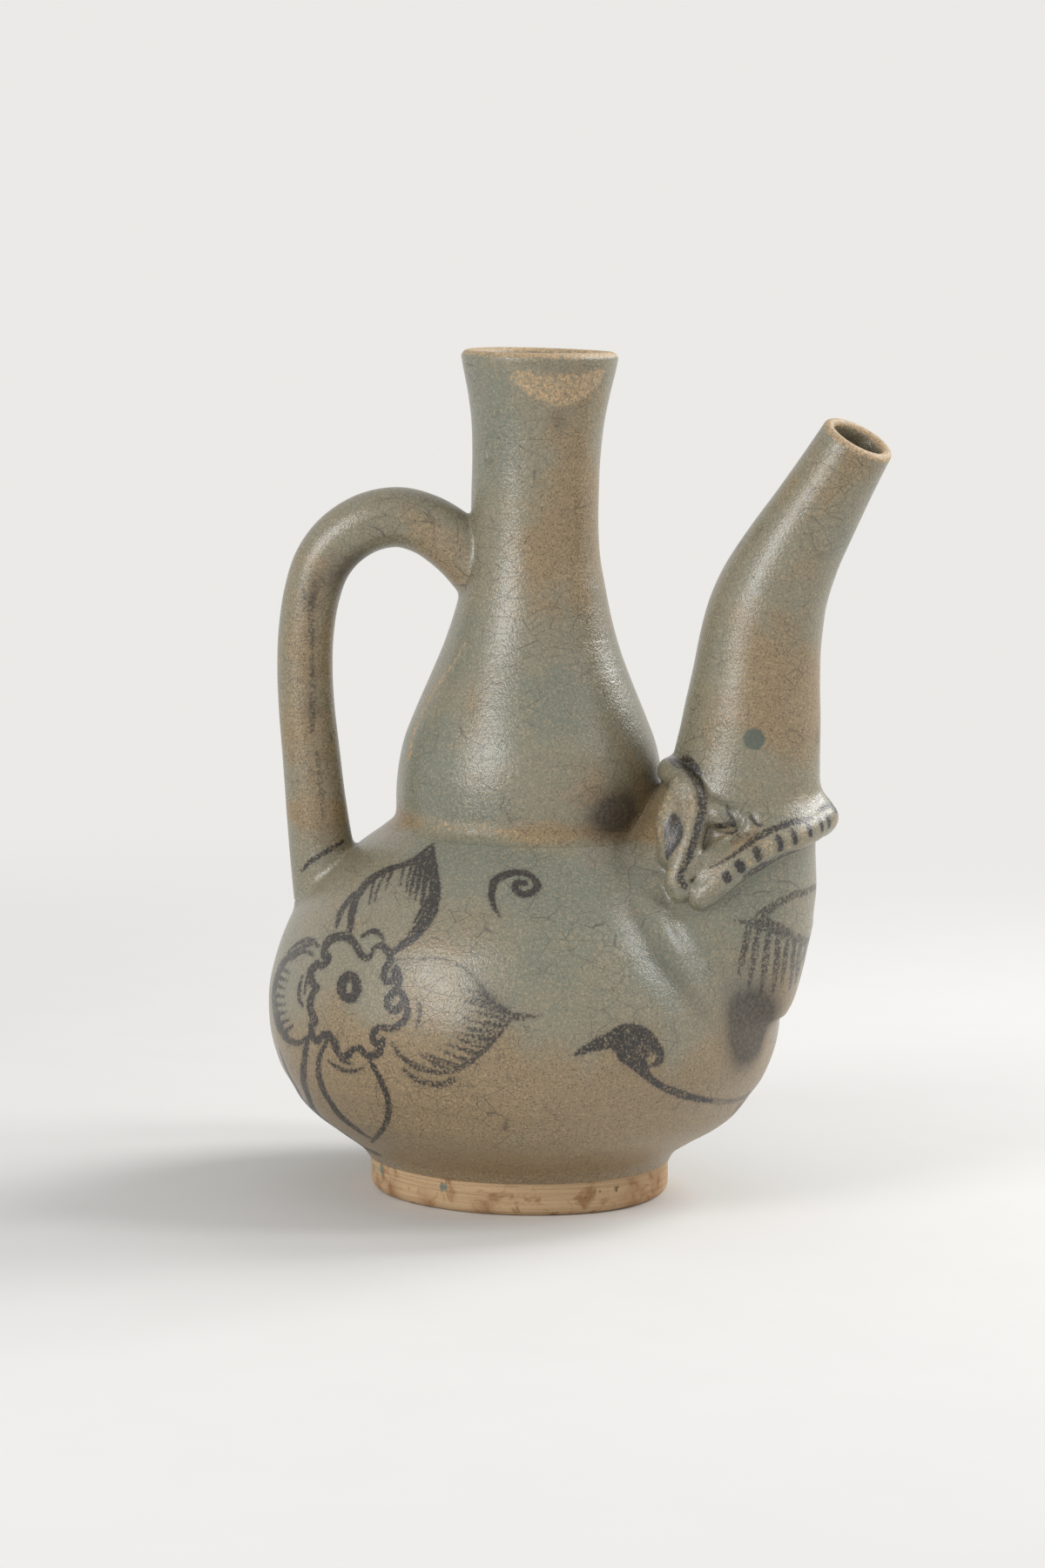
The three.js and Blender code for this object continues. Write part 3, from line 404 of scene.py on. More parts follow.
# The slight waviness of a pot thrown and joined by hand: moved axis, amount in millimetres, waves along x, y
# and z, start.
WAVES = (
    (0, 0.2, (0, 0.043, 0.033), -1.1), (0, 0.12, (0, 0.19, -0.11), 2.1), (1, 0.24, (-0.047, 0, 0.052), 1.9),
    (1, 0.12, (0.17, 0, 0.13), 0.3), (2, 0.16, (0.07, 0.055, 0), 1.1),
)
# The lean of the globe's lower end to one side: amount, height and spread in millimetres.
LEAN = (-0.9, 16, 6)
# Wear at the rim and at the spout's tip: millimetres from the edge where it starts and where it is full,
# amount.
RIM_WEAR = ((3.8, 2, 0.4), (1.8, 0.5, 0.3))
TIP_WEAR = (3, 0.4, 0.7)
# The band at the waist, where glaze is thin and worn: amount, rise above the joint and spread.
WAIST_THIN, WAIST_WORN = (0.7, -1, 3.2), (0.26, 0, 2.6)
# Glaze is thin low on the globe: amount, and heights where it starts and where it is full.
LOW_THIN = (0.5, 26, 11)
# Creases between pieces are darkened, partly by glaze gathered there and partly by painted shade: amount and
# spread.
CREASE_POOL_AND_SHADE = (0.9, 1.3)

# Spacing in millimetres of the points along the pot's outline and along the spout.
OUTLINE_SPACING = 0.45
SPOUT_SPACING = 0.6
# How deep in millimetres the ends of handle and spout reach into the pot.
LUTED_DEPTH = 2.6
# The globe's floor: the radius where its rings end, and how far it and the wall's end lie above the foot.
FLOOR_MIDDLE, FLOOR_RISE, WALL_END = 3, 5, 12
SPOUT_WALL = 3.0
SPOUT_SIDES = 300
# The smallest length that anything is divided by.
TINY = 0.001

# The camera's place in metres, its tilt and roll in degrees and its lens in millimetres.
CAMERA_PLACE = (AXIS_X - 0.0019, -1.375, 0.2895)
CAMERA_PITCH, CAMERA_ROLL, CAMERA_LENS = 7.1, 1.35, 110
# Lamps: place in metres, share of the power set, width and height in metres.
LAMPS = {
    "front lamp": ((-0.83, -0.89, 0.6), 1, 0.5, 0.6),
    "side lamp": ((0.86, 0.5, 0.9), 1.4, 0.5, 0.8),
    "fill lamp": ((1.12, -0.12, 0.86), 0.6, 0.3, 0.6),
}
LAMP_AIM = Vector((AXIS_X, 0, 0.12))
# Radii in metres of the floor's rings.
FLOOR_RINGS = (0.02, 0.4, 1.2, 3, 8)
FLOOR_SIDES = 48


def evenly(line, steps):
    """A line's values at even steps along it. Steps is a number, or a rule that takes the line's length."""
    length = np.concatenate([[0], np.cumsum(np.linalg.norm(np.diff(line, axis=0), axis=1))])
    even = np.linspace(0, length[-1], (steps(length[-1]) if callable(steps) else steps) + 1)
    return np.column_stack([np.interp(even, length, column) for column in line.T])


def smooth_line(points, spacing, steps=24):
    """A smooth line through points, with values at even spacing along it."""
    given = np.asarray(points, float)
    given = np.vstack([2 * given[0] - given[1], given, 2 * given[-1] - given[-2]])
    along = np.linspace(0, 1, steps, endpoint=False)[:, None]
    walked = []
    for a, b, c, d in zip(given, given[1:], given[2:], given[3:]):
        before, span, after = (math.sqrt(np.linalg.norm(q - p)) for p, q in ((a, b), (b, c), (c, d)))
        slope_b = ((b - a) / before - (c - a) / (before + span) + (c - b) / span) * span
        slope_c = ((c - b) / span - (d - b) / (span + after) + (d - c) / after) * span
        walked.append(
            (2 * along ** 3 - 3 * along ** 2 + 1) * b + (along ** 3 - 2 * along ** 2 + along) * slope_b
            + (3 * along ** 2 - 2 * along ** 3) * c + (along ** 3 - along ** 2) * slope_c
        )
    return evenly(np.vstack([*walked, given[-2]]), lambda length: max(int(round(length / spacing)), 2))


def smooth_step(values, low, high):
    share = np.clip((values - low) / (high - low), 0, 1)
    return share * share * (3 - 2 * share)


def bell(values, width):
    return np.exp(-(values / width) ** 2)


def unit(ways):
    """Ways made one long."""
    return ways / np.maximum(np.linalg.norm(ways, axis=-1, keepdims=True), TINY)


def turned_places(stroke):
    """Places given as angle, distance from the pot's axis, height and half width, with x and y instead."""
    angle, out, height, width = np.array(stroke).T
    turn = np.radians(angle)
    return np.column_stack([out * np.cos(turn), out * np.sin(turn), height, width])


def gathered(points, fields):
    """What soft round fields add up to at each point."""
    total = np.zeros(len(points))
    for angle, out, height, size, amount in fields:
        turn = math.radians(angle)
        arm = points - (out * math.cos(turn), out * math.sin(turn), height)
        total += amount * np.exp(-(arm ** 2).sum(1) / (2 * size ** 2))
    return total


class Turned:
    """A thrown form. Tells how far points lie outside its skin, and the way out."""

    STEP = 0.5
    WIDEST, LOWEST, HIGHEST = 120, -14, 264

    def __init__(self, outline):
        self.radii = np.arange(0, self.WIDEST, self.STEP)
        self.heights = np.arange(self.LOWEST, self.HIGHEST, self.STEP)
        starts = outline[:-1]
        run = outline[1:] - starts
        square = (run ** 2).sum(1)
        rows = []
        for height in self.heights:
            arm = np.column_stack([self.radii, np.full_like(self.radii, height)])[:, None] - starts
            share = np.clip((arm * run).sum(2) / square, 0, 1)[..., None]
            rows.append(np.sqrt(((arm - share * run) ** 2).sum(2).min(1)))
        wall = np.interp(self.heights, outline[:, 1], outline[:, 0])[:, None]
        table = np.array(rows) * np.where(self.radii[None] > wall, 1, -1)
        self.tables = (table, *np.gradient(table, self.STEP))

    def reach(self, points):
        radius = np.hypot(points[:, 0], points[:, 1])
        row = np.clip((points[:, 2] - self.LOWEST) / self.STEP, 0, len(self.heights) - 1 - TINY)
        column = np.clip(radius / self.STEP, 0, len(self.radii) - 1 - TINY)
        i, j = row.astype(int), column.astype(int)
        u, v = row - i, column - j
        distance, up, out = (
            table[i, j] * (1 - u) * (1 - v) + table[i + 1, j] * u * (1 - v)
            + table[i, j + 1] * (1 - u) * v + table[i + 1, j + 1] * u * v
            for table in self.tables
        )
        outward = points[:, :2] / np.maximum(radius, TINY)[:, None]
        return distance, unit(np.column_stack([out[:, None] * outward, up]))


class Rod:
    """A round form along a line, with its own radius at each of its places (x, y, z, radius)."""

    FAR = 60.0
    CHUNK = 20000

    def __init__(self, places, margin=22):
        self.line, self.radius = places[:, :3], places[:, 3]
        self.low = (self.line - self.radius[:, None]).min(0) - margin
        self.high = (self.line + self.radius[:, None]).max(0) + margin

    def reach(self, points):
        """As of a thrown form. Points past the margin around the rod count as far off."""
        distance = np.full(len(points), self.FAR)
        way = np.tile([0.0, 0.0, 1.0], (len(points), 1))
        near = np.flatnonzero(((points > self.low) & (points < self.high)).all(1))
        for part in np.array_split(near, len(near) // self.CHUNK + 1):
            if len(part):
                distance[part], way[part] = self.reach_near(points[part])
        return distance, way

    def reach_near(self, points):
        line, radius = self.line, self.radius
        square = (points ** 2).sum(1)[:, None] + (line ** 2).sum(1)[None] - 2 * points @ line.T
        nearest = square.argmin(1)
        found = []
        for start in (nearest - 1, nearest):
            start = np.clip(start, 0, len(line) - 2)
            run = line[start + 1] - line[start]
            share = np.clip(((points - line[start]) * run).sum(1) / (run ** 2).sum(1), 0, 1)[:, None]
            arm = points - line[start] - share * run
            here = radius[start] + share[:, 0] * (radius[start + 1] - radius[start])
            found.append((np.linalg.norm(arm, axis=1) - here, unit(arm)))
        (before, way_before), (after, way_after) = found
        closer = after < before
        return np.where(closer, after, before), np.where(closer[:, None], way_after, way_before)


def joined(first, second, fillet):
    """Two reaches as one, with a round fillet where their skins cross and none where they run on."""
    crossing = np.clip(1.2 * np.sqrt(np.maximum(1 - (first[1] * second[1]).sum(1), 0)), 0, 1)
    width = np.maximum(fillet * crossing, TINY)
    share = np.clip(0.5 + 0.5 * (second[0] - first[0]) / width, 0, 1)
    distance = second[0] + (first[0] - second[0]) * share - width * share * (1 - share)
    return distance, unit(first[1] * share[:, None] + second[1] * (1 - share)[:, None])


def swept(places, sides, start_side):
    """Rings of points square to a line (x, y, z, radius), without twist from the first ring's start side."""
    line, radius = places[:, :3], places[:, 3]
    along = unit(np.gradient(line, axis=0))
    side = np.asarray(start_side, float)
    across = np.empty_like(along)
    for n, way in enumerate(along):
        side = unit(side - way * (side @ way))
        across[n] = side
    aside = np.cross(along, across)
    angle = np.linspace(0, 2 * np.pi, sides, endpoint=False)
    ring = across[:, None] * np.cos(angle)[None, :, None] + aside[:, None] * np.sin(angle)[None, :, None]
    return line[:, None] + ring * radius[:, None, None]


class Clay:
    """The ewer's sizes in millimetres about the pot's axis, and the forms that its skin joins."""

    # Spacing of the places along the handle, the lips and the small features.
    HANDLE_SPACING, LIP_SPACING, FEATURE_SPACING = 0.8, 0.5, 0.4
    # The spout's end: the slope of its rim, the length over which it is drawn out, and the reach of that.
    TIP_SLOPE, TIP_LENGTH, TIP_REACH = 0.15, 16, 24
    # Covered by another form, a skin sinks slowly down to the brim and fast below it.
    SLOW_SINK, FAST_SINK, BRIM = 0.04, 0.8, 1.2
    # Points within reach of other forms are moved onto the whole skin in rounds.
    NEAR, ROUNDS = 20, 5

    def __init__(self, wall, spout_turn, spout_root, spout_reach, spout_rise, lip_coil, handle_rod):
        self.foot = FOOT_HIGH.z / MM
        self.globe_top = top_of("lower_globe") / MM
        self.bulb_foot = top_of("waist_band") / MM
        self.neck_foot = top_of("upper_bulb") / MM
        self.top = top_of("neck") / MM
        self.belly = half_width("lower_globe") / MM
        self.mouth = half_width("neck") / NECK_SHARES[-1][0] / MM
        self.wall, self.lip_coil, self.turn = wall / MM, lip_coil / MM, spout_turn
        self.ahead = (math.cos(self.turn), math.sin(self.turn), 0)
        self.aside = (-math.sin(self.turn), math.cos(self.turn), 0)
        globe = self.globe_top - self.foot
        neck = self.top - self.neck_foot
        self.outline = smooth_line([
            (size * out, low + rise * up)
            for shares, size, low, rise in (
                (GLOBE_SHARES, self.belly, self.foot, globe),
                (BULB_SHARES, half_width("upper_bulb") / MM, self.bulb_foot, self.neck_foot - self.bulb_foot),
                (NECK_SHARES, self.mouth, self.neck_foot, neck),
            )
            for out, up in shares
        ], OUTLINE_SPACING)

        rod = handle_rod / MM
        reach = -(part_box("handle")[0].x - AXIS_X) / MM - rod
        head_out, head_wide, head_up = HANDLE_HEAD
        foot_out, foot_wide, foot_up = HANDLE_FOOT
        shoulder = self.foot + globe * foot_up
        crest_wide = max(HANDLE_SHARES, key=lambda place: place[2])[1]
        rise = top_of("handle") / MM - rod * crest_wide - shoulder
        self.handle_places = smooth_line([
            (-self.mouth * head_out, 0, self.neck_foot + neck * head_up, rod * head_wide),
            *((-reach * out, 0, shoulder + rise * up, rod * wide) for out, wide, up in HANDLE_SHARES),
            (-self.belly * foot_out, 0, shoulder, rod * foot_wide),
        ], self.HANDLE_SPACING)

        root = spout_root / MM
        self.throat = root * THROAT_SHARE
        self.muzzle = (self.belly * MUZZLE_SHARES[0], self.foot + globe * MUZZLE_SHARES[1])
        self.spout_places = self.turned_out(smooth_line([
            *((self.belly * out, 0, self.foot + globe * up, root * wide) for out, wide, up in ROOT_SHARES),
            *((self.muzzle[0] + spout_reach / MM * out, 0, self.muzzle[1] + spout_rise / MM * up,
               self.throat * wide) for out, wide, up in TUBE_SHARES),
        ], SPOUT_SPACING))
        self.spout_end = self.spout_places[-1, :3]
        self.spout_way = unit(self.spout_end - self.spout_places[-8, :3])

        self.places = {
            "upper_lip": self.lip_places(UPPER_LIP_SHARES, UPPER_LIP_RADII),
            "lower_lip": self.lip_places(LOWER_LIP_SHARES, LOWER_LIP_RADII),
        }
        for side_name, side in (("right", 1), ("left", -1)):
            for name, (shares, radii) in FACE_PARTS.items():
                places = smooth_line(self.face_places(shares, radii, side), self.FEATURE_SPACING)
                self.places[f"{name}_{side_name}"] = self.turned_out(places)
        self.forms = {
            "pot": Turned(self.outline[::2]),
            "spout": Rod(self.spout_places),
            "handle": Rod(self.handle_places),
            **{name: Rod(places) for name, places in self.places.items()},
        }
        twice = 2 * math.degrees(self.turn)
        self.swells = DENTS + ROOT_SWELLS + tuple((twice - angle, *rest) for angle, *rest in ROOT_SWELLS)

    @functools.cached_property
    def painting(self):
        return Painting(self)

    def turned_out(self, places):
        """Places in the spout's upright plane, turned to where the spout stands."""
        c, s, _ = self.ahead
        x, y = places[:, 0], places[:, 1]
        return np.column_stack([c * x - s * y, s * x + c * y, places[:, 2:]])

    def face_places(self, shares, radii, side):
        """Places in the beast's face on its right side, 1, or its left side, -1."""
        x, z = self.muzzle
        return [
            (x + self.throat * out, -self.throat * across * side, z + self.throat * up, radius)
            for (out, across, up), radius in zip(shares, radii)
        ]

    def lip_places(self, shares, radii):
        radii = [self.lip_coil * radius for radius in radii]
        left, right = (self.face_places(shares, radii, side) for side in (-1, 1))
        return self.turned_out(smooth_line(left[:0:-1] + right, self.LIP_SPACING))

    def slant(self, points):
        """How far the spout's end is drawn out along itself, so that its rim is lower on the painted side."""
        arm = points - self.spout_end
        drawn = smooth_step(arm @ self.spout_way, -self.TIP_LENGTH, -1)
        return self.TIP_SLOPE * (arm @ self.aside) * drawn * (np.linalg.norm(arm, axis=-1) < self.TIP_REACH)

    def fillet(self, name, points, way):
        """The width of the fillet by which a form joins those listed before it."""
        height = points[:, 2]
        if name == "spout":
            belly, bulb = SPOUT_FILLETS
            return belly + (bulb - belly) * np.clip((height - self.globe_top + 8) / 9, 0, 1)
        if name == "handle":
            return np.where(height > HANDLE_MIDDLE, *HANDLE_FILLETS)
        if name == "lower_lip":
            below, above = LOWER_LIP_FILLETS
            return below + (above - below) * np.clip(way[:, 2], 0, 1)
        return FILLETS.get(name, PLAIN_FILLET)

    def skin(self, points):
        """How far points lie outside the whole skin, and the way out."""
        found = self.forms["pot"].reach(points)
        for name, form in self.forms.items():
            if name != "pot":
                reach = form.reach(points)
                found = joined(found, reach, self.fillet(name, points, reach[1]))
        return found[0] - gathered(points, self.swells), found[1]

    def settled(self, points, own):
        """Points of one form moved onto the whole skin. Where another form covers them they sink in."""
        flat = points.reshape(-1, 3).copy()
        cover = np.min([form.reach(flat)[0] for name, form in self.forms.items() if name != own], axis=0)
        sunk = np.maximum(-cover, 0)
        shallow = -self.SLOW_SINK * sunk
        level = shallow - self.FAST_SINK * np.maximum(sunk - self.BRIM, 0) ** 2
        level = np.where(sunk > 0, np.maximum(level, np.minimum(self.skin(flat)[0], shallow)), 0)
        active = np.flatnonzero(cover < self.NEAR)
        for _ in range(self.ROUNDS):
            distance, way = self.skin(flat[active])
            flat[active] -= (distance - level[active])[:, None] * way
        return flat.reshape(points.shape)


# The forms are worked out again only when a size has changed.
shaped = functools.lru_cache(maxsize=1)(Clay)


def clay():
    sizes = bpy.context.scene.ewer_sizes
    return shaped(*(getattr(sizes, name) for name in EwerSizes.__annotations__))


class Painting:
    """Strokes of iron pigment laid on the clay's skin, and a painted shadow under the beast's lower lip laid
    the same way.
    """

    # Strokes spread a little into the glaze: their half widths times a share, less a margin, and a least one.
    SPREAD, MARGIN, THINNEST = 1.3, 0.08, 0.05
    SPACING = 0.4
    # Past this distance in millimetres a stroke leaves no mark.
    FAR = 4.0

    def __init__(self, c):
        self.strokes = []
        for load, strokes in POT_STROKES.values():
            for stroke in strokes:
                angle, height, width = np.array(stroke).T
                radius = np.interp(height, c.outline[:, 1], c.outline[:, 0])
                self.lay(c, load, turned_places(np.column_stack([angle, radius, height, width])))
        for load, stroke in HANDLE_STROKES:
            self.lay(c, load, turned_places(stroke))
        for load, strokes in SPOUT_STROKES.values():
            for stroke in strokes:
                for side in (-1, 1):
                    self.lay(c, load, c.turned_out(np.array(stroke) * (1, side, 1, 1)))

    def lay(self, c, load, places):
        places[:, 3] = np.maximum(self.SPREAD * places[:, 3] - self.MARGIN, self.THINNEST)
        line = smooth_line(places, self.SPACING)
        for _ in range(3):
            distance, way = c.skin(line[:, :3])
            line[:, :3] -= distance[:, None] * way
        self.strokes.append((load, Rod(line, self.FAR)))

    def reach(self, points):
        """Distance to the nearest stroke's edge, and that stroke's load of pigment."""
        edge, load = np.full(len(points), self.FAR), np.zeros(len(points))
        for strength, stroke in self.strokes:
            distance = stroke.reach(points)[0]
            nearer = distance < edge
            edge[nearer], load[nearer] = distance[nearer], strength
        return edge, load


def glaze_marks(own):
    """The marks on one piece that the glaze's shader reads: painting and a painted shadow under the lip, warm
    and worn glaze with paler crests that are partly a painted highlight, creases darkened by pooled glaze and
    painted shade, smoke stains and painted shade.
    """
    raised = own.endswith(("lip", "_right", "_left"))

    def marks(points):
        c = clay()
        edge, load = c.painting.reach(points)
        height = points[:, 2]
        waist_thin, waist_worn = (
            amount * bell(height - c.bulb_foot - rise, spread)
            for amount, rise, spread in (WAIST_THIN, WAIST_WORN))
        share, start, full = LOW_THIN
        thin = gathered(points, FIELDS) + waist_thin + share * smooth_step(height, start, full)
        thin = np.clip(thin, -1, 1)

        rim = sum(share * smooth_step(height, c.top - start, c.top - full) for start, full, share in RIM_WEAR)
        start, full, share = TIP_WEAR
        arm = points - c.spout_end
        tip = share * smooth_step(arm @ c.spout_way - c.slant(points), -start, -full)
        tip[np.linalg.norm(arm, axis=1) > 14] = 0
        worn = np.clip(gathered(points, WORN_FIELDS), 0, 0.6)
        streak = Rod(smooth_line(turned_places(BUFF_STREAK), 0.4), 3).reach(points)[0]
        bare = np.max([rim, tip, worn, waist_worn, 0.56 * smooth_step(streak, 1.1, -0.3)], axis=0)

        if raised:
            # Parts standing out from the spout are paler on their crests: partly glaze thin there, partly a
            # painted highlight.
            crest_and_highlight = smooth_step(c.forms["spout"].reach(points)[0], 2.4, 6.5)
            thin = np.clip(0.3 * thin + gathered(points, MOUTH_FIELDS) + 0.1 * crest_and_highlight - 0.1, -1, 1)
            bare = np.maximum(bare, 0.47 * crest_and_highlight * smooth_step(edge, 0.5, 1.3))
        skipped = {"pot", own} if raised else {"pot", "spout", own}
        cover = np.min([form.reach(points)[0] for name, form in c.forms.items()
                        if name not in skipped and not name.startswith("gum")], axis=0)
        # Creases between pieces and the hollows beside the spout's root and in dents are darkened: partly
        # glaze pooled there, partly painted shade.
        hollows = [(*place, 0.6 * size, -1.7 * amount) for *place, size, amount in c.swells if amount < 0]
        amount, spread = CREASE_POOL_AND_SHADE
        pool = amount * np.exp(-np.maximum(cover, 0) / spread) + gathered(points, hollows)
        return {
            "ink": edge, "load": load, "thin": thin, "bare": bare, "pool": np.clip(pool, 0, 1),
            "smoke": np.clip(gathered(points, SMOKE_AND_SHADE_FIELDS), 0, 1),
            "blot": np.clip(gathered(points, BLOT_FIELDS), 0, 1),
        }
    return marks


def foot_marks(points):
    """Stains, glaze runs and chips around the foot ring."""
    return {
        name: np.clip(gathered(points, [(angle, FOOT_OUT, *rest) for angle, *rest in fields]), 0, 1)
        for name, fields in (("thin", FOOT_STAINS), ("pool", FOOT_RUNS), ("smoke", FOOT_CHIPS))
    }


def handled(points):
    """The slight unevenness of a pot thrown and joined by hand, the same for every piece at a place."""
    height = points[:, 2]
    moved = points.copy()
    # The foot's underside stays flat.
    shares = (1, 1, np.clip(height / 24, 0, 1))
    for axis, amount, waves, start in WAVES:
        moved[:, axis] += shares[axis] * amount * np.sin(points @ waves + start)
    amount, middle, spread = LEAN
    moved[:, 0] += amount * bell(height - middle, spread)
    return moved


def clay_mesh(name, rows, marks, material, capped=True):
    """A closed skin from rings of points in millimetres, with its ends capped or joined to each other."""
    count, sides = rows.shape[:2]
    points = rows.reshape(-1, 3)
    last = (count - 1) * sides
    i, j = np.arange(0, last, sides)[:, None], np.arange(sides)
    k = (j + 1) % sides
    quads = np.stack([i + j, i + k, i + sides + k, i + sides + j], axis=-1).reshape(-1, 4)
    triangles = np.zeros((0, 3), int)
    if capped:
        middle = np.full(sides, len(points))
        triangles = np.vstack([
            np.column_stack([middle, k, j]), np.column_stack([middle + 1, last + j, last + k])])
        points = np.vstack([points, rows[0].mean(0), rows[-1].mean(0)])
    else:
        quads = np.vstack([quads, np.column_stack([last + j, last + k, k, j])])
    # Faces point out: the enclosed volume is positive.
    a, b, c, d = (points[corner] for corner in quads.T)
    e, f, g = (points[corner] for corner in triangles.T)
    volume = (np.cross(a, b) * c).sum() + (np.cross(a, c) * d).sum() + (np.cross(e, f) * g).sum()
    if volume < 0:
        quads, triangles = quads[:, ::-1], triangles[:, ::-1]

    placed = handled(points) * MM
    placed[:, 0] += AXIS_X
    mesh = bpy.data.meshes.new(name)
    mesh.vertices.add(len(placed))
    mesh.vertices.foreach_set("co", placed.ravel())
    corners = np.concatenate([quads.ravel(), triangles.ravel()]).astype(np.int32)
    starts = np.concatenate([
        np.arange(0, quads.size, 4), np.arange(quads.size, len(corners), 3)]).astype(np.int32)
    mesh.loops.add(len(corners))
    mesh.loops.foreach_set("vertex_index", corners)
    mesh.polygons.add(len(starts))
    mesh.polygons.foreach_set("loop_start", starts)
    mesh.update(calc_edges=True)
    mesh.validate()
    mesh.shade_smooth()
    mesh.set_sharp_from_angle(angle=math.radians(50))
    for mark, values in marks(points).items():
        layer = mesh.attributes.new(mark, "FLOAT", "POINT")
        layer.data.foreach_set("value", values.astype(np.float32))
    piece = bpy.data.objects.new(name, mesh)
    bpy.context.scene.collection.objects.link(piece)
    mesh.materials.append(material)
    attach(piece, "root")
    return piece


def trimmed(grid, form):
    """Each line of a grid of rings cut where it leaves a form's inside, a little under its skin."""
    count, sides = grid.shape[:2]
    level = form.reach(grid.reshape(-1, 3))[0].reshape(count, sides) + LUTED_DEPTH
    cut = np.empty_like(grid)
    places = np.arange(count, dtype=float)
    for column in range(sides):
        hidden = np.flatnonzero(level[:, column] < 0)
        start = 0.0
        if len(hidden) and hidden[-1] < count - 1:
            last = hidden[-1]
            low, high = level[last:last + 2, column]
            start = last + low / (low - high)
        even = np.linspace(start, count - 1, count)
        for axis in range(3):
            cut[:, column, axis] = np.interp(even, places, grid[:, column, axis])
    return cut


def around_pot(profile, angles):
    """Rings of points about the pot's axis from an outline of distances and heights."""
    out, height = profile.T[..., None]
    return np.stack(np.broadcast_arrays(out * np.cos(angles), out * np.sin(angles), height), axis=-1)


def pot_angles(fine, coarse):
    """Directions around the pot, closest on its painted front and widest on its plain back."""
    bounds = ((-178, -8, fine), (-8, 44, coarse), (44, 136, 3 * coarse), (136, 182, coarse))
    return np.concatenate([np.arange(*np.radians((low, high)), step) for low, high, step in bounds])


def outer_line(c, low, high, spacing):
    """The pot's outline between two heights, as distances from its axis and heights."""
    inside = c.outline[(c.outline[:, 1] > low) & (c.outline[:, 1] < high)]
    start, end = ((np.interp(height, c.outline[:, 1], c.outline[:, 0]), height) for height in (low, high))
    return evenly(np.vstack([start, inside, end]), max(int(len(inside) * OUTLINE_SPACING / spacing), 3))


def inner_line(c, low, high, spacing):
    """The inside of the wall between two heights, from the top down."""
    slope = np.clip(np.gradient(c.outline[:, 0], c.outline[:, 1]), -1.6, 1.6)
    inside = c.outline[:, 0] - c.wall * np.sqrt(1 + slope ** 2)
    heights = np.append(np.arange(high, low, -spacing), low)
    return np.column_stack([np.interp(heights, c.outline[:, 1], inside), heights])


def neck_lip(outer, inner, top):
    """The rounded lip between the last places outside and inside the neck."""
    middle, half = (outer[0] + inner[0]) / 2, (outer[0] - inner[0]) / 2
    turn = np.linspace(0, np.pi, 14)[1:-1]
    return np.column_stack([middle + half * np.cos(turn), outer[1] + (top - outer[1]) * np.sin(turn)])


def globe_floor(corner, floor, bend=7.0):
    """The inside of the globe below its wall: a rounded corner, then the floor almost to its middle."""
    turn = np.linspace(0, np.pi / 2, 5)[1:]
    turned = np.column_stack([
        corner[0] - bend * (1 - np.cos(turn)), corner[1] - (corner[1] - floor) * np.sin(turn)])
    across = np.column_stack([np.linspace(turned[-1, 0], FLOOR_MIDDLE, 4)[1:], np.full(3, floor)])
    return np.vstack([turned, across])


def rounded_ends(places, count):
    """Places of a rod with its radius run out to a point at both ends, for a closed round-ended skin."""
    ends = []
    for end, beside in ((places[0], places[1]), (places[-1], places[-2])):
        along = unit(end[:3] - beside[:3])
        ends.append([
            (*(end[:3] + along * end[3] * math.cos(turn)), end[3] * math.sin(turn))
            for turn in np.linspace(0.04, np.pi / 2, count)[:-1]
        ])
    return np.vstack([ends[0], places, ends[1][::-1]])


def tone(red, green, blue):
    """A colour as it looks on a screen, 0 to 255, given in the linear values that shaders take."""
    parts = [value / 255 for value in (red, green, blue)]
    return tuple(round(v / 12.92 if v < 0.04 else ((v + 0.055) / 1.055) ** 2.4, 4) for v in parts)


def length_setting(name, description, default):
    return bpy.props.FloatProperty(name=name, description=description, default=default, unit="LENGTH")


def colour_setting(name, description, default):
    return bpy.props.FloatVectorProperty(
        name=name, description=description, default=default, subtype="COLOR", size=3, min=0, max=1)


class EwerSizes(bpy.types.PropertyGroup):
    """Sizes of the ewer's clay, in the order in which Clay takes them."""

    wall: length_setting("Wall", "Thickness of the thrown wall", 0.0042)
    spout_turn: bpy.props.FloatProperty(
        name="Spout turn", description="Angle of the spout out of the handle's plane",
        default=math.radians(-16), subtype="ANGLE")
    spout_root: length_setting("Spout root", "Radius of the spout's root", 0.033)
    spout_reach: length_setting("Spout reach", "Way out from the beast's mouth to the spout's end", 0.0332)
    spout_rise: length_setting("Spout rise", "Height of the spout's end above the beast's mouth", 0.1085)
    lip_coil: length_setting("Lip coil", "Radius of the coils that make the beast's lips", 0.0037)
    handle_rod: length_setting("Handle rod", "Radius of the handle's rod", 0.008)


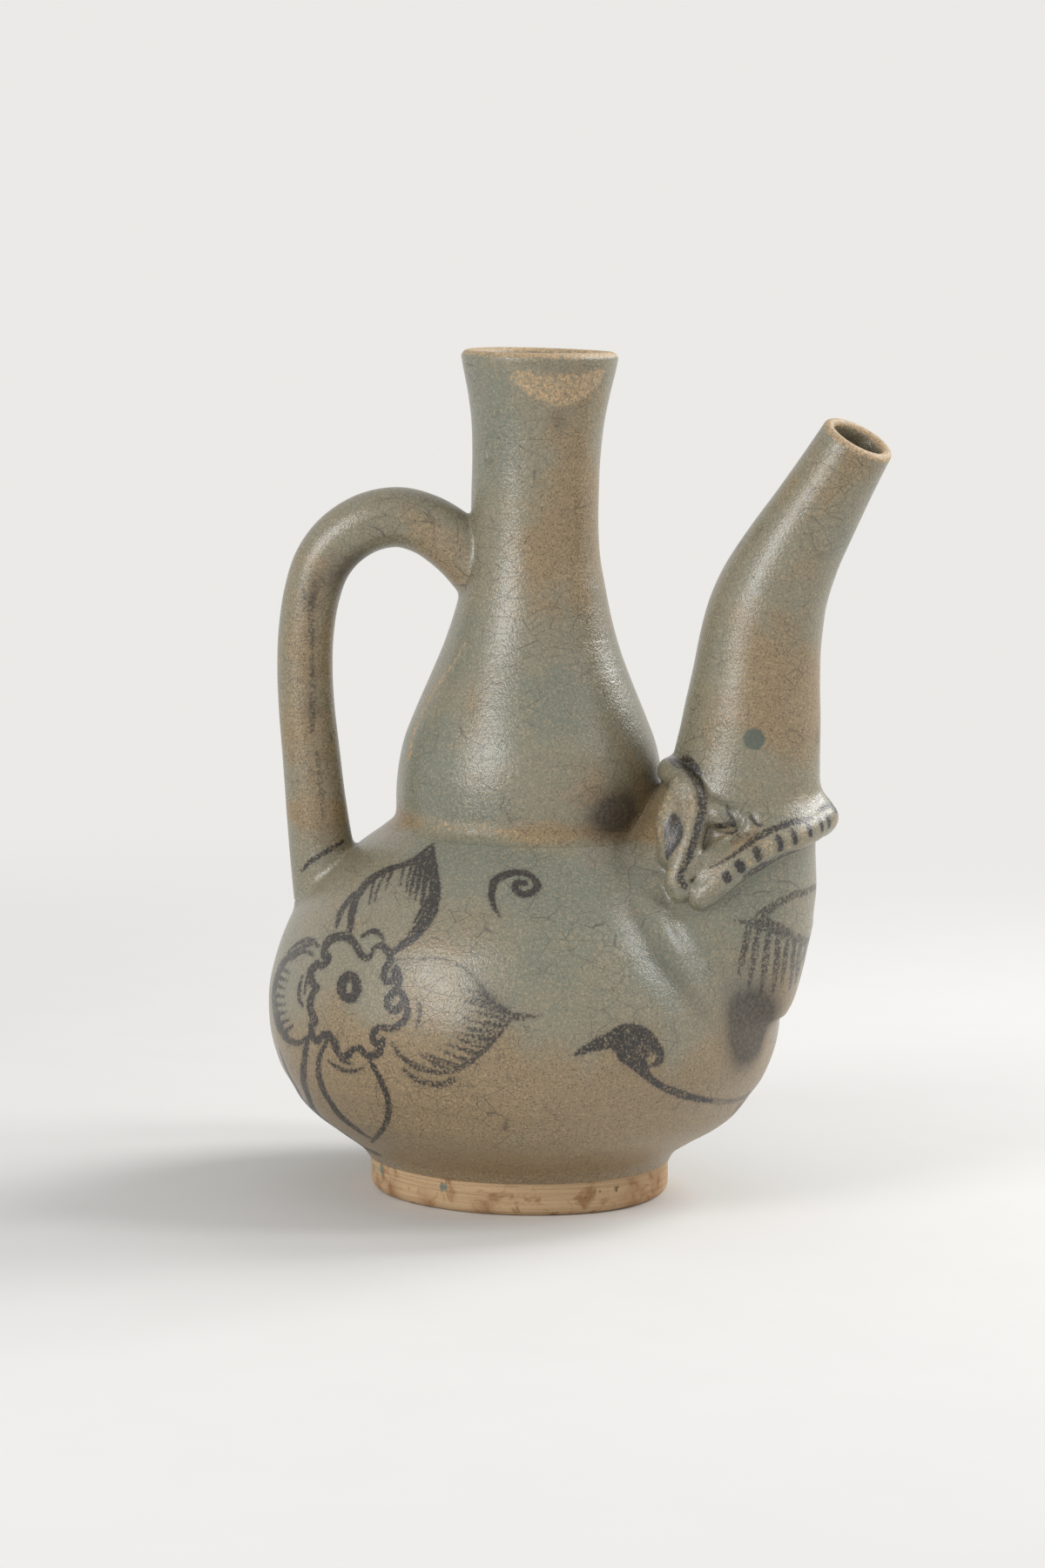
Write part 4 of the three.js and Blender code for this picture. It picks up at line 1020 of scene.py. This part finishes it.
class GlazeColours(bpy.types.PropertyGroup):
    """Colours of glaze, clay and iron pigment."""

    celadon: colour_setting("Celadon", "Grey-green body of the glaze", tone(131, 127, 108))
    olive: colour_setting("Olive", "Glaze where it lies thin and fires warmer", tone(141, 121, 88))
    teal: colour_setting("Teal", "Glaze where it lies thick and cool", tone(114, 120, 106))
    fleck: colour_setting("Fleck", "Pale grains in the glaze", tone(184, 163, 130))
    rust: colour_setting("Rust", "Brown grains of iron in the glaze", tone(80, 62, 43))
    # Worn also paints the paler crests of the beast's lips and features, partly a painted highlight.
    worn: colour_setting("Worn", "Buff skin where rims and ridges have lost their glaze", tone(202, 172, 133))
    # The pigment also colours the painted shadow under the beast's lower lip.
    pigment: colour_setting("Pigment", "Iron pigment of the painting", tone(24, 20, 17))
    deep: colour_setting("Deep", "Blue-green blots where the glaze gathered", tone(58, 78, 72))
    # Soot colours crackle and smoke stains, and also the painted shade in creases and hollows and the painted
    # shadows among the smoke patches.
    soot_and_shade: colour_setting("Soot and shade", "Smoked patches, crackle and glaze pooled in creases", tone(46, 40, 32))
    clay: colour_setting("Clay", "Bare stoneware of the foot ring", tone(204, 174, 136))
    stain: colour_setting("Stain", "Iron stain on the foot ring and in warm glaze", tone(142, 99, 60))


class StageSettings(bpy.types.PropertyGroup):
    """Lamps and floor."""

    floor: colour_setting("Floor", "Colour of the floor", (0.76, 0.752, 0.735))
    backdrop: colour_setting("Backdrop", "Colour that the floor runs out into", (0.83, 0.82, 0.8))
    lamps: bpy.props.FloatProperty(
        name="Lamps", description="Power of the front lamp, which the other lamps follow", default=8.0,
        unit="POWER")
    daylight: bpy.props.FloatProperty(
        name="Daylight", description="Strength of the soft light from all around", default=0.45)


class Wiring:
    """Adds nodes to a shader tree. Inputs are numbers, colours or other nodes' outputs."""

    def __init__(self, tree):
        self.tree = tree

    def node(self, kind, inputs=(), **settings):
        node = self.tree.nodes.new(kind)
        for name, value in settings.items():
            setattr(node, name, value)
        self.fill(node, inputs)
        return node

    def fill(self, node, inputs):
        for key, value in dict(inputs).items():
            if isinstance(value, bpy.types.NodeSocket):
                self.tree.links.new(value, node.inputs[key])
            else:
                node.inputs[key].default_value = value

    def math(self, operation, *values):
        return self.node("ShaderNodeMath", enumerate(values), operation=operation).outputs[0]

    def times(self, first, second):
        return self.math("MULTIPLY", first, second)

    def plus(self, value, share, added):
        """A value with a share of another added."""
        return self.math("MULTIPLY_ADD", added, share, value)

    def stirred(self, value, share, noise):
        """A value moved up and down by a share of noise, whose middle is a half."""
        return self.plus(value, share, self.math("SUBTRACT", noise, 0.5))

    def mix(self, share, first, second):
        return self.node("ShaderNodeMix", {0: share, 6: first, 7: second}, data_type="RGBA").outputs[2]

    def step(self, value, low, high, out=(0.0, 1.0)):
        """A smooth step of a value between low and high."""
        inputs = enumerate((value, low, high, *out))
        return self.node("ShaderNodeMapRange", inputs, interpolation_type="SMOOTHSTEP").outputs[0]

    def scaled(self, place, factors):
        return self.node("ShaderNodeVectorMath", {0: place, 1: factors}, operation="MULTIPLY").outputs[0]

    def noise(self, place, size, detail=2.0, roughness=0.5, distortion=0.0):
        """Noise with lumps about size millimetres wide."""
        return self.node("ShaderNodeTexNoise", {
            "Vector": place, "Scale": 1 / size, "Detail": detail, "Roughness": roughness,
            "Distortion": distortion}).outputs[0]

    def mark(self, name):
        return self.node("ShaderNodeAttribute", attribute_name=name).outputs["Fac"]

    def group(self, name, *inputs):
        return self.node("ShaderNodeGroup", enumerate(inputs), node_tree=shader_group(name)).outputs

    def finish(self, shader, body, rough, height):
        """Leads colour, roughness and a height in millimetres into a material's shader."""
        bump = self.node("ShaderNodeBump", {"Height": height, "Distance": MM, "Strength": 1.0})
        self.fill(shader, {"Base Color": body, "Roughness": rough, "Normal": bump.outputs[0]})


def colour(name):
    return (*getattr(bpy.context.scene.ewer_colours, name), 1)


def millimetres(w):
    """Places on the ewer in millimetres, the scale at which every pattern is written."""
    return w.scaled(w.node("ShaderNodeTexCoord").outputs["Object"], (1 / MM,) * 3)


def glaze_body(w, place, thin, pool):
    """Mottled celadon: broad warm and cool fields, sandy grain and specks of iron."""
    broad = w.noise(place, 34, roughness=0.55, distortion=0.4)
    middle = w.noise(place, 9, detail=3.0, roughness=0.6)
    grain = w.noise(place, 0.8, roughness=0.7)
    sand = w.noise(place, 0.5, detail=1.0, roughness=0.6)
    warm = w.stirred(w.stirred(thin, 1.6, broad), 1.0, middle)
    olive = w.step(warm, 0.05, 0.8, (0.0, 0.9))
    body = w.mix(w.step(warm, 0.05, -0.5, (0.0, 0.8)), colour("celadon"), colour("teal"))
    body = w.mix(olive, body, colour("olive"))
    flecks = w.times(w.step(grain, 0.48, 0.66), w.step(olive, 0.0, 1.0, (0.4, 0.72)))
    body = w.mix(flecks, body, w.mix(w.times(olive, 0.4), colour("fleck"), colour("stain")))
    specks = w.times(w.step(sand, 0.46, 0.32), w.step(olive, 0.0, 1.0, (0.45, 0.75)))
    body = w.mix(specks, body, colour("rust"))
    # Painted shade and pooled glaze darken creases and hollows with a share of soot colour.
    body = w.mix(w.times(pool, 0.38), body, colour("soot_and_shade"))
    rough = w.stirred(w.plus(0.27, 0.06, olive), 0.35, grain)
    height = w.plus(w.times(w.noise(place, 3.0, detail=1.0), 0.05), 0.17, grain)
    return body, rough, height


def crackle(w, place):
    """A net of hairline cracks in the glaze, long cells crossed by finer ones."""
    sway = w.scaled(w.node("ShaderNodeTexNoise", {"Vector": place, "Scale": 0.12}).outputs[1], (1.2,) * 3)
    swayed = w.node("ShaderNodeVectorMath", {0: place, 1: sway}, operation="ADD").outputs[0]
    nets = []
    for stretch, size, width in ((1.7, 8.5, 0.022), (1.25, 4.4, 0.03)):
        cells = w.node("ShaderNodeTexVoronoi", {
            "Vector": w.scaled(swayed, (1.0, 1.0, stretch)), "Scale": 1 / size, "Randomness": 0.9},
            feature="DISTANCE_TO_EDGE").outputs["Distance"]
        nets.append(w.step(cells, 0.0, width, (1.0, 0.0)))
    lines = w.math("MAXIMUM", nets[0], w.times(nets[1], 0.55))
    return w.times(lines, w.step(w.noise(place, 16, detail=1.0), 0.38, 0.62, (0.15, 1.0))),


def brushwork(w, place, edge, load):
    """Iron pigment under the glaze, and the painted shadow under the lip drawn the same way: ragged granular
    edges, and pale pores where the brush ran dry.
    """
    ragged = w.noise(place, 0.7, roughness=0.65)
    drag = w.noise(place, 3.2, roughness=0.6)
    grain = w.noise(place, 0.8, roughness=0.7)
    inside = w.step(w.stirred(w.stirred(edge, 1.5, ragged), 0.7, drag), 0.6, -0.2)
    dry = w.plus(w.math("SUBTRACT", 1.5, load), -1.0, drag)
    pores = w.step(w.plus(grain, 0.3, dry), 0.54, 0.74, (1.0, 0.3))
    cover = w.times(w.times(inside, pores), w.step(load, 0.0, 0.8))
    halo = w.times(w.step(edge, 1.7, -0.4, (0.0, 0.2)), load)
    tint = w.mix(w.step(ragged, 0.5, 0.7, (0.0, 0.7)), colour("pigment"), colour("rust"))
    return w.math("MAXIMUM", cover, halo), tint


def throwing(w, place):
    """Faint ridges left by the thrower's fingers, as a height in millimetres."""
    rings = w.noise(w.scaled(place, (0.02, 0.02, 0.38)), 1.0, roughness=0.55)
    return w.plus(w.times(rings, 0.12), 0.35, w.noise(place, 22, detail=1.0)),


def pinholes(w, place):
    """Scattered pinholes and burst bubbles."""
    cells = w.node("ShaderNodeTexVoronoi", {"Vector": place, "Scale": 1 / 5.5}, feature="F1").outputs
    kept = w.math("GREATER_THAN", w.node("ShaderNodeSeparateColor", {0: cells["Color"]}).outputs[0], 0.72)
    return w.times(w.step(cells["Distance"], 0.03, 0.065, (1.0, 0.0)), kept),


def blots(w, place, blot):
    """Ragged blots where the glaze ran together."""
    return w.times(w.step(w.plus(blot, 0.3, w.noise(place, 1.4)), 0.5, 0.75), 0.75),


def smoked(w, place, smoke):
    """Smoke stains and painted shade in the glaze, grainy at their edges."""
    return w.times(smoke, w.step(w.noise(place, 1.1, detail=3.0, roughness=0.7), 0.2, 0.75, (0.6, 1.0))),


def worn_skin(w, place, bare):
    """Where the glaze is chipped or rubbed away, and the sandy clay skin that shows there; on the crests of
    the beast's lips and features this paleness is partly a painted highlight.
    """
    chips = w.noise(place, 1.1, detail=4.0, roughness=0.7)
    sandy = w.step(w.noise(place, 0.6, detail=3.0, roughness=0.7), 0.36, 0.68)
    return w.step(w.stirred(bare, 1.5, chips), 0.42, 0.68), w.mix(sandy, colour("worn"), colour("olive"))


# Shader node groups: inputs and outputs with their kinds, and the function that wires them.
PLACE = (("Place", "Vector"),)
GROUPS = {
    "glaze_body": ((*PLACE, ("Thin", "Float"), ("Pool", "Float")),
                   (("Colour", "Color"), ("Roughness", "Float"), ("Height", "Float")), glaze_body),
    "crackle": (PLACE, (("Lines", "Float"),), crackle),
    "brushwork": ((*PLACE, ("Edge", "Float"), ("Load", "Float")),
                  (("Cover", "Float"), ("Colour", "Color")), brushwork),
    "throwing": (PLACE, (("Height", "Float"),), throwing),
    "pinholes": (PLACE, (("Spots", "Float"),), pinholes),
    "blots": ((*PLACE, ("Blot", "Float")), (("Cover", "Float"),), blots),
    "smoked": ((*PLACE, ("Smoke", "Float")), (("Cover", "Float"),), smoked),
    "worn_skin": ((*PLACE, ("Bare", "Float")), (("Cover", "Float"), ("Colour", "Color")), worn_skin),
}


def shader_group(name):
    """A shader node group, made once."""
    group = bpy.data.node_groups.get(name)
    if group is None:
        inputs, outputs, build = GROUPS[name]
        group = bpy.data.node_groups.new(name, "ShaderNodeTree")
        for way, sockets in (("INPUT", inputs), ("OUTPUT", outputs)):
            for label, kind in sockets:
                group.interface.new_socket(label, in_out=way, socket_type=f"NodeSocket{kind}")
        w = Wiring(group)
        entry, leave = w.node("NodeGroupInput"), w.node("NodeGroupOutput")
        w.fill(leave, enumerate(build(w, *entry.outputs[:len(inputs)])))
    return group


def new_material(name):
    material = bpy.data.materials.new(name)
    material.use_nodes = True
    return material, Wiring(material.node_tree), material.node_tree.nodes["Principled BSDF"]


def glaze_material(name="mottled_celadon", gloss=0.75):
    """Celadon glaze over iron painting."""
    material = bpy.data.materials.get(name)
    if material:
        return material
    material, w, shader = new_material(name)
    place = millimetres(w)
    body, rough, grain = w.group("glaze_body", place, w.mark("thin"), w.mark("pool"))
    lines, = w.group("crackle", place)
    body = w.mix(w.times(lines, 0.62), body, colour("soot_and_shade"))
    # Iron painting, and the painted shadow under the lip drawn with it.
    cover, tint = w.group("brushwork", place, w.mark("ink"), w.mark("load"))
    body = w.mix(cover, body, tint)
    blot, = w.group("blots", place, w.mark("blot"))
    body = w.mix(blot, body, colour("deep"))
    # Smoke stains, and the painted shadow and painted shade among them, in soot colour.
    smoke, = w.group("smoked", place, w.mark("smoke"))
    body = w.mix(smoke, body, colour("soot_and_shade"))
    skin, sandy = w.group("worn_skin", place, w.mark("bare"))
    body = w.mix(skin, body, sandy)
    spots, = w.group("pinholes", place)
    body = w.mix(w.times(spots, 0.75), body, colour("rust"))
    for mask, share in ((cover, 0.08), (skin, 0.3), (smoke, 0.3)):
        rough = w.plus(rough, share, mask)
    rings, = w.group("throwing", place)
    height = w.math("ADD", grain, rings)
    for mask, share in ((lines, -0.02), (spots, -0.12), (skin, -0.05)):
        height = w.plus(height, share, mask)
    w.finish(shader, body, rough, height)
    shader.inputs["Specular IOR Level"].default_value = gloss
    return material


def foot_material():
    """Bare turned stoneware with iron stains, tool lines and runs of glaze from above."""
    material, w, shader = new_material("turned_clay")
    place = millimetres(w)
    tool = w.noise(w.scaled(place, (0.03, 0.03, 1.6)), 1.0, detail=3.0, roughness=0.6)
    cloud = w.noise(place, 7, detail=4.0, roughness=0.6, distortion=0.6)
    grit = w.noise(place, 0.6, detail=3.0, roughness=0.7)
    body = w.mix(w.step(tool, 0.35, 0.7, (0.0, 0.35)), colour("clay"), colour("stain"))
    body = w.mix(w.step(cloud, 0.52, 0.66, (0.0, 0.75)), body, colour("stain"))
    body = w.mix(w.step(grit, 0.55, 0.78, (0.0, 0.45)), body, colour("rust"))
    body = w.mix(w.times(w.mark("thin"), w.step(cloud, 0.3, 0.6, (0.4, 1.0))), body, colour("stain"))
    run = w.step(w.stirred(w.mark("pool"), 1.6, cloud), 0.5, 0.72)
    body = w.mix(run, body, colour("teal"))
    dark = w.step(w.stirred(w.mark("smoke"), 1.3, w.noise(place, 1.6, detail=3.0, roughness=0.7)), 0.5, 0.7)
    body = w.mix(w.times(dark, 0.8), body, colour("rust"))
    height = w.plus(w.times(grit, 0.12), 0.35, tool)
    height = w.plus(w.plus(height, 0.3, cloud), -0.25, dark)
    w.finish(shader, body, w.step(run, 0.0, 1.0, (0.85, 0.45)), height)
    return material


def seen_directly(w):
    """One for rays from the camera, and for those that gloss or glass pass on."""
    path = w.node("ShaderNodeLightPath").outputs
    glossy = w.math("MAXIMUM", path["Is Camera Ray"], path["Is Glossy Ray"])
    return w.math("MAXIMUM", glossy, path["Is Transmission Ray"])


class EWER_OT_pot(bpy.types.Operator):
    """Makes the thrown pot: globe, waist, bulb and neck"""

    bl_idname = "ewer.pot"
    bl_label = "Thrown pot"

    def execute(self, context):
        c = clay()
        fine, coarse = math.radians(0.5), math.radians(0.95)
        for name, node, low, high in (
            ("globe_skin", "lower_globe", c.foot, c.globe_top),
            ("waist_skin", "waist_band", c.globe_top, c.bulb_foot),
            ("bulb_skin", "upper_bulb", c.bulb_foot, c.neck_foot),
            ("neck_skin", "neck", c.neck_foot, c.outline[-1, 1]),
        ):
            globe, worn = name == "globe_skin", name == "waist_skin"
            angles = pot_angles(fine if globe else coarse, coarse)
            outer = outer_line(c, low, high, 0.66 if globe else 0.8)
            rows = [c.settled(around_pot(outer, angles), "pot")]
            if globe:
                inner = inner_line(c, low + WALL_END, high, 7)
                inner = np.vstack([inner, globe_floor(inner[-1], low + FLOOR_RISE)])
                base = np.column_stack([np.linspace(FLOOR_MIDDLE, outer[0, 0] - 1.2, 4), np.full(4, low)])
                rows.insert(0, around_pot(base, angles))
            elif name == "neck_skin":
                inner = inner_line(c, low, high, 1.2)
                inner = np.vstack([neck_lip(outer[-1], inner[0], c.top), inner])
            else:
                inner = inner_line(c, low, high, 1.5)
            rows.append(around_pot(inner, angles))
            material = glaze_material("worn_celadon", 0.45) if worn else glaze_material()
            piece = clay_mesh(name, np.vstack(rows), glaze_marks("pot"), material, globe)
            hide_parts(node)
        return {"FINISHED"}


class EWER_OT_foot(bpy.types.Operator):
    """Makes the turned foot ring"""

    bl_idname = "ewer.foot"
    bl_label = "Foot ring"

    def execute(self, context):
        outer, top = half_width("foot_ring") / MM, clay().foot + 0.4
        width, bevel, chamfer = 8.0, 2.8, 0.8
        inner = outer - width
        turn = np.linspace(0, np.pi / 2, 8)
        profile = np.vstack([
            np.column_stack([outer - bevel + bevel * np.sin(turn), bevel - bevel * np.cos(turn)]),
            np.column_stack([np.full(16, outer), np.linspace(bevel, top, 17)[1:]]),
            np.column_stack([np.linspace(outer, inner, 6)[1:], np.full(5, top)]),
            np.column_stack([np.full(8, inner), np.linspace(top, chamfer, 9)[1:]]),
            np.column_stack([np.linspace(inner + chamfer, outer - bevel - 0.4, 9), np.zeros(9)]),
        ])
        rows = around_pot(profile, np.linspace(0, 2 * np.pi, 480, endpoint=False))
        piece = clay_mesh("foot_ring_clay", rows, foot_marks, foot_material(), False)
        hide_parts("foot_ring")
        return {"FINISHED"}


class EWER_OT_handle(bpy.types.Operator):
    """Makes the handle's rod"""

    bl_idname = "ewer.handle"
    bl_label = "Handle"

    def execute(self, context):
        c = clay()
        grid = swept(c.handle_places, 84, (0, 1, 0))
        half = len(grid) // 2
        head = trimmed(grid[:half + 1], c.forms["pot"])
        foot = trimmed(grid[:half - 1:-1], c.forms["pot"])[::-1]
        rows = c.settled(np.vstack([head, foot[1:]]), "handle")
        piece = clay_mesh("handle_rod", rows, glaze_marks("handle"), glaze_material())
        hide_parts("handle")
        return {"FINISHED"}


class EWER_OT_spout(bpy.types.Operator):
    """Makes the spout: its root in the belly and the tube that rises from the beast's mouth"""

    bl_idname = "ewer.spout"
    bl_label = "Spout"

    def execute(self, context):
        c = clay()
        places = c.spout_places
        throat = int(np.argmin(np.abs(places[:, 2] - c.muzzle[1])))
        grid = swept(places, SPOUT_SIDES, c.aside)
        root = c.settled(trimmed(grid[:throat + 1], c.forms["pot"]), "spout")
        piece = clay_mesh("spout_root_skin", root, glaze_marks("spout"), glaze_material())
        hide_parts("spout_root")

        half_wall = SPOUT_WALL / 2
        end = len(places) - 1 - int(round(half_wall / SPOUT_SPACING))
        bore = swept(places - (0, 0, 0, SPOUT_WALL), SPOUT_SIDES, c.aside)
        turn = np.linspace(0, np.pi, 12)[1:-1, None, None]
        along = unit(places[-1, :3] - places[-2, :3])
        middle, arm = (grid[end] + bore[end]) / 2, (grid[end] - bore[end]) / 2
        rim = middle + arm * np.cos(turn) + along * half_wall * np.sin(turn)
        tube = c.settled(grid[throat:end + 1], "spout")
        rows = np.vstack([tube, rim, bore[end:throat + 8:-3]])
        rows += along * c.slant(rows)[..., None]
        piece = clay_mesh("spout_tube_skin", rows, glaze_marks("spout"), glaze_material())
        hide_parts("spout_tube")
        return {"FINISHED"}


class EWER_OT_face(bpy.types.Operator):
    """Makes the beast's lips, gums, eyes and fangs"""

    bl_idname = "ewer.face"
    bl_label = "Beast's face"

    def execute(self, context):
        c = clay()
        for name, places in c.places.items():
            grid = swept(rounded_ends(places, 9), 44 if "lip" in name else 36, c.ahead)
            piece = clay_mesh(f"{name}_clay", c.settled(grid, name), glaze_marks(name), glaze_material())
            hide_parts("lower_lip" if name.startswith("gum") else name)
        return {"FINISHED"}


def linked(name, data):
    """An object made from data and linked to the scene."""
    made = bpy.data.objects.new(name, data)
    bpy.context.scene.collection.objects.link(made)
    return made


def floor_material(pale, backdrop):
    """Pale paper with a faint fibre, which runs out into the backdrop's colour far from the ewer."""
    material, w, shader = new_material("floor_paper")
    fibre = w.step(w.noise(millimetres(w), 30, detail=3.0), 0.3, 0.7, (0.0, 0.03))
    w.fill(shader, {"Base Color": w.mix(fibre, pale, (0.5, 0.49, 0.47, 1)), "Roughness": 0.9})
    far = w.node("ShaderNodeVectorMath", {0: w.node("ShaderNodeTexCoord").outputs["Object"]},
                 operation="LENGTH").outputs["Value"]
    white = w.node("ShaderNodeEmission", {"Color": backdrop, "Strength": 1.0}).outputs[0]
    share = w.times(seen_directly(w), w.step(far, 0.2, 0.8))
    blend = w.node("ShaderNodeMixShader", {0: share, 1: shader.outputs[0], 2: white})
    w.fill(w.tree.nodes["Material Output"], {"Surface": blend.outputs[0]})
    return material


def studio_world(daylight, backdrop):
    """Soft white light from all around, seen directly as the backdrop's colour."""
    world = bpy.data.worlds.new("studio")
    world.use_nodes = True
    w = Wiring(world.node_tree)
    light = w.tree.nodes["Background"]
    w.fill(light, {"Color": (1, 1, 1, 1), "Strength": daylight})
    white = w.node("ShaderNodeBackground", {"Color": backdrop, "Strength": 1.0}).outputs[0]
    blend = w.node("ShaderNodeMixShader", {0: seen_directly(w), 1: light.outputs[0], 2: white})
    w.fill(w.tree.nodes["World Output"], {"Surface": blend.outputs[0]})
    return world


class EWER_OT_stage(bpy.types.Operator):
    """Sets the floor, camera, lamps and world"""

    bl_idname = "ewer.stage"
    bl_label = "Stage"

    def execute(self, context):
        scene = context.scene
        settings = scene.ewer_stage
        pale, backdrop = (*settings.floor, 1), (*settings.backdrop, 1)
        turn = np.linspace(0, 2 * np.pi, FLOOR_SIDES, endpoint=False)
        points = [(r * math.cos(t), r * math.sin(t), 0) for r in FLOOR_RINGS for t in turn]
        faces = [tuple(range(FLOOR_SIDES))]
        for ring in range(0, len(points) - FLOOR_SIDES, FLOOR_SIDES):
            for n in range(FLOOR_SIDES):
                near, ahead = ring + n, ring + (n + 1) % FLOOR_SIDES
                faces.append((near + FLOOR_SIDES, ahead + FLOOR_SIDES, ahead, near))
        mesh = bpy.data.meshes.new("floor")
        mesh.from_pydata(points, [], faces)
        mesh.materials.append(floor_material(pale, backdrop))
        floor = linked("floor", mesh)

        camera = bpy.data.cameras.new("camera")
        camera.lens = CAMERA_LENS
        pitch, roll = math.radians(CAMERA_PITCH), math.radians(CAMERA_ROLL)
        right = Vector((1, 0, 0))
        down = Vector((0, -math.sin(pitch), -math.cos(pitch)))
        ahead = Vector((0, math.cos(pitch), -math.sin(pitch)))
        across = right * math.cos(roll) - down * math.sin(roll)
        lower = right * math.sin(roll) + down * math.cos(roll)
        scene.camera = linked("camera", camera)
        facing = Matrix((across, -lower, -ahead)).transposed().to_4x4()
        scene.camera.matrix_world = Matrix.Translation(CAMERA_PLACE) @ facing

        for name, (place, share, width, height) in LAMPS.items():
            lamp = bpy.data.lights.new(name, "AREA")
            lamp.energy = share * settings.lamps
            lamp.shape = "RECTANGLE"
            lamp.size, lamp.size_y = width, height
            facing = (LAMP_AIM - Vector(place)).to_track_quat("-Z", "Y").to_matrix().to_4x4()
            linked(name, lamp).matrix_world = Matrix.Translation(place) @ facing
        scene.world = studio_world(settings.daylight, backdrop)
        scene.view_settings.view_transform = "Standard"
        return {"FINISHED"}


class EWER_PT_panel(bpy.types.Panel):
    """Lists the ewer's sizes, colours and operators"""

    bl_label = "Celadon ewer"
    bl_idname = "EWER_PT_panel"
    bl_space_type = "VIEW_3D"
    bl_region_type = "UI"
    bl_category = "Ewer"

    def draw(self, context):
        for group in SETTINGS:
            settings = getattr(context.scene, group)
            for name in settings.__annotations__:
                self.layout.prop(settings, name)
        for operator in OPERATORS:
            self.layout.operator(operator.bl_idname)


SETTINGS = {"ewer_sizes": EwerSizes, "ewer_colours": GlazeColours, "ewer_stage": StageSettings}
OPERATORS = (EWER_OT_stage, EWER_OT_pot, EWER_OT_foot, EWER_OT_handle, EWER_OT_spout, EWER_OT_face)
CLASSES = (*SETTINGS.values(), *OPERATORS, EWER_PT_panel)


def register():
    for kind in CLASSES:
        bpy.utils.register_class(kind)
    for name, kind in SETTINGS.items():
        setattr(bpy.types.Scene, name, bpy.props.PointerProperty(type=kind))


def unregister():
    for name in SETTINGS:
        delattr(bpy.types.Scene, name)
    for kind in reversed(CLASSES):
        bpy.utils.unregister_class(kind)


def main():
    register()
    bpy.ops.ewer.stage()
    bpy.ops.ewer.pot()
    bpy.ops.ewer.foot()
    bpy.ops.ewer.handle()
    bpy.ops.ewer.spout()
    bpy.ops.ewer.face()


if __name__ == "__main__":
    main()
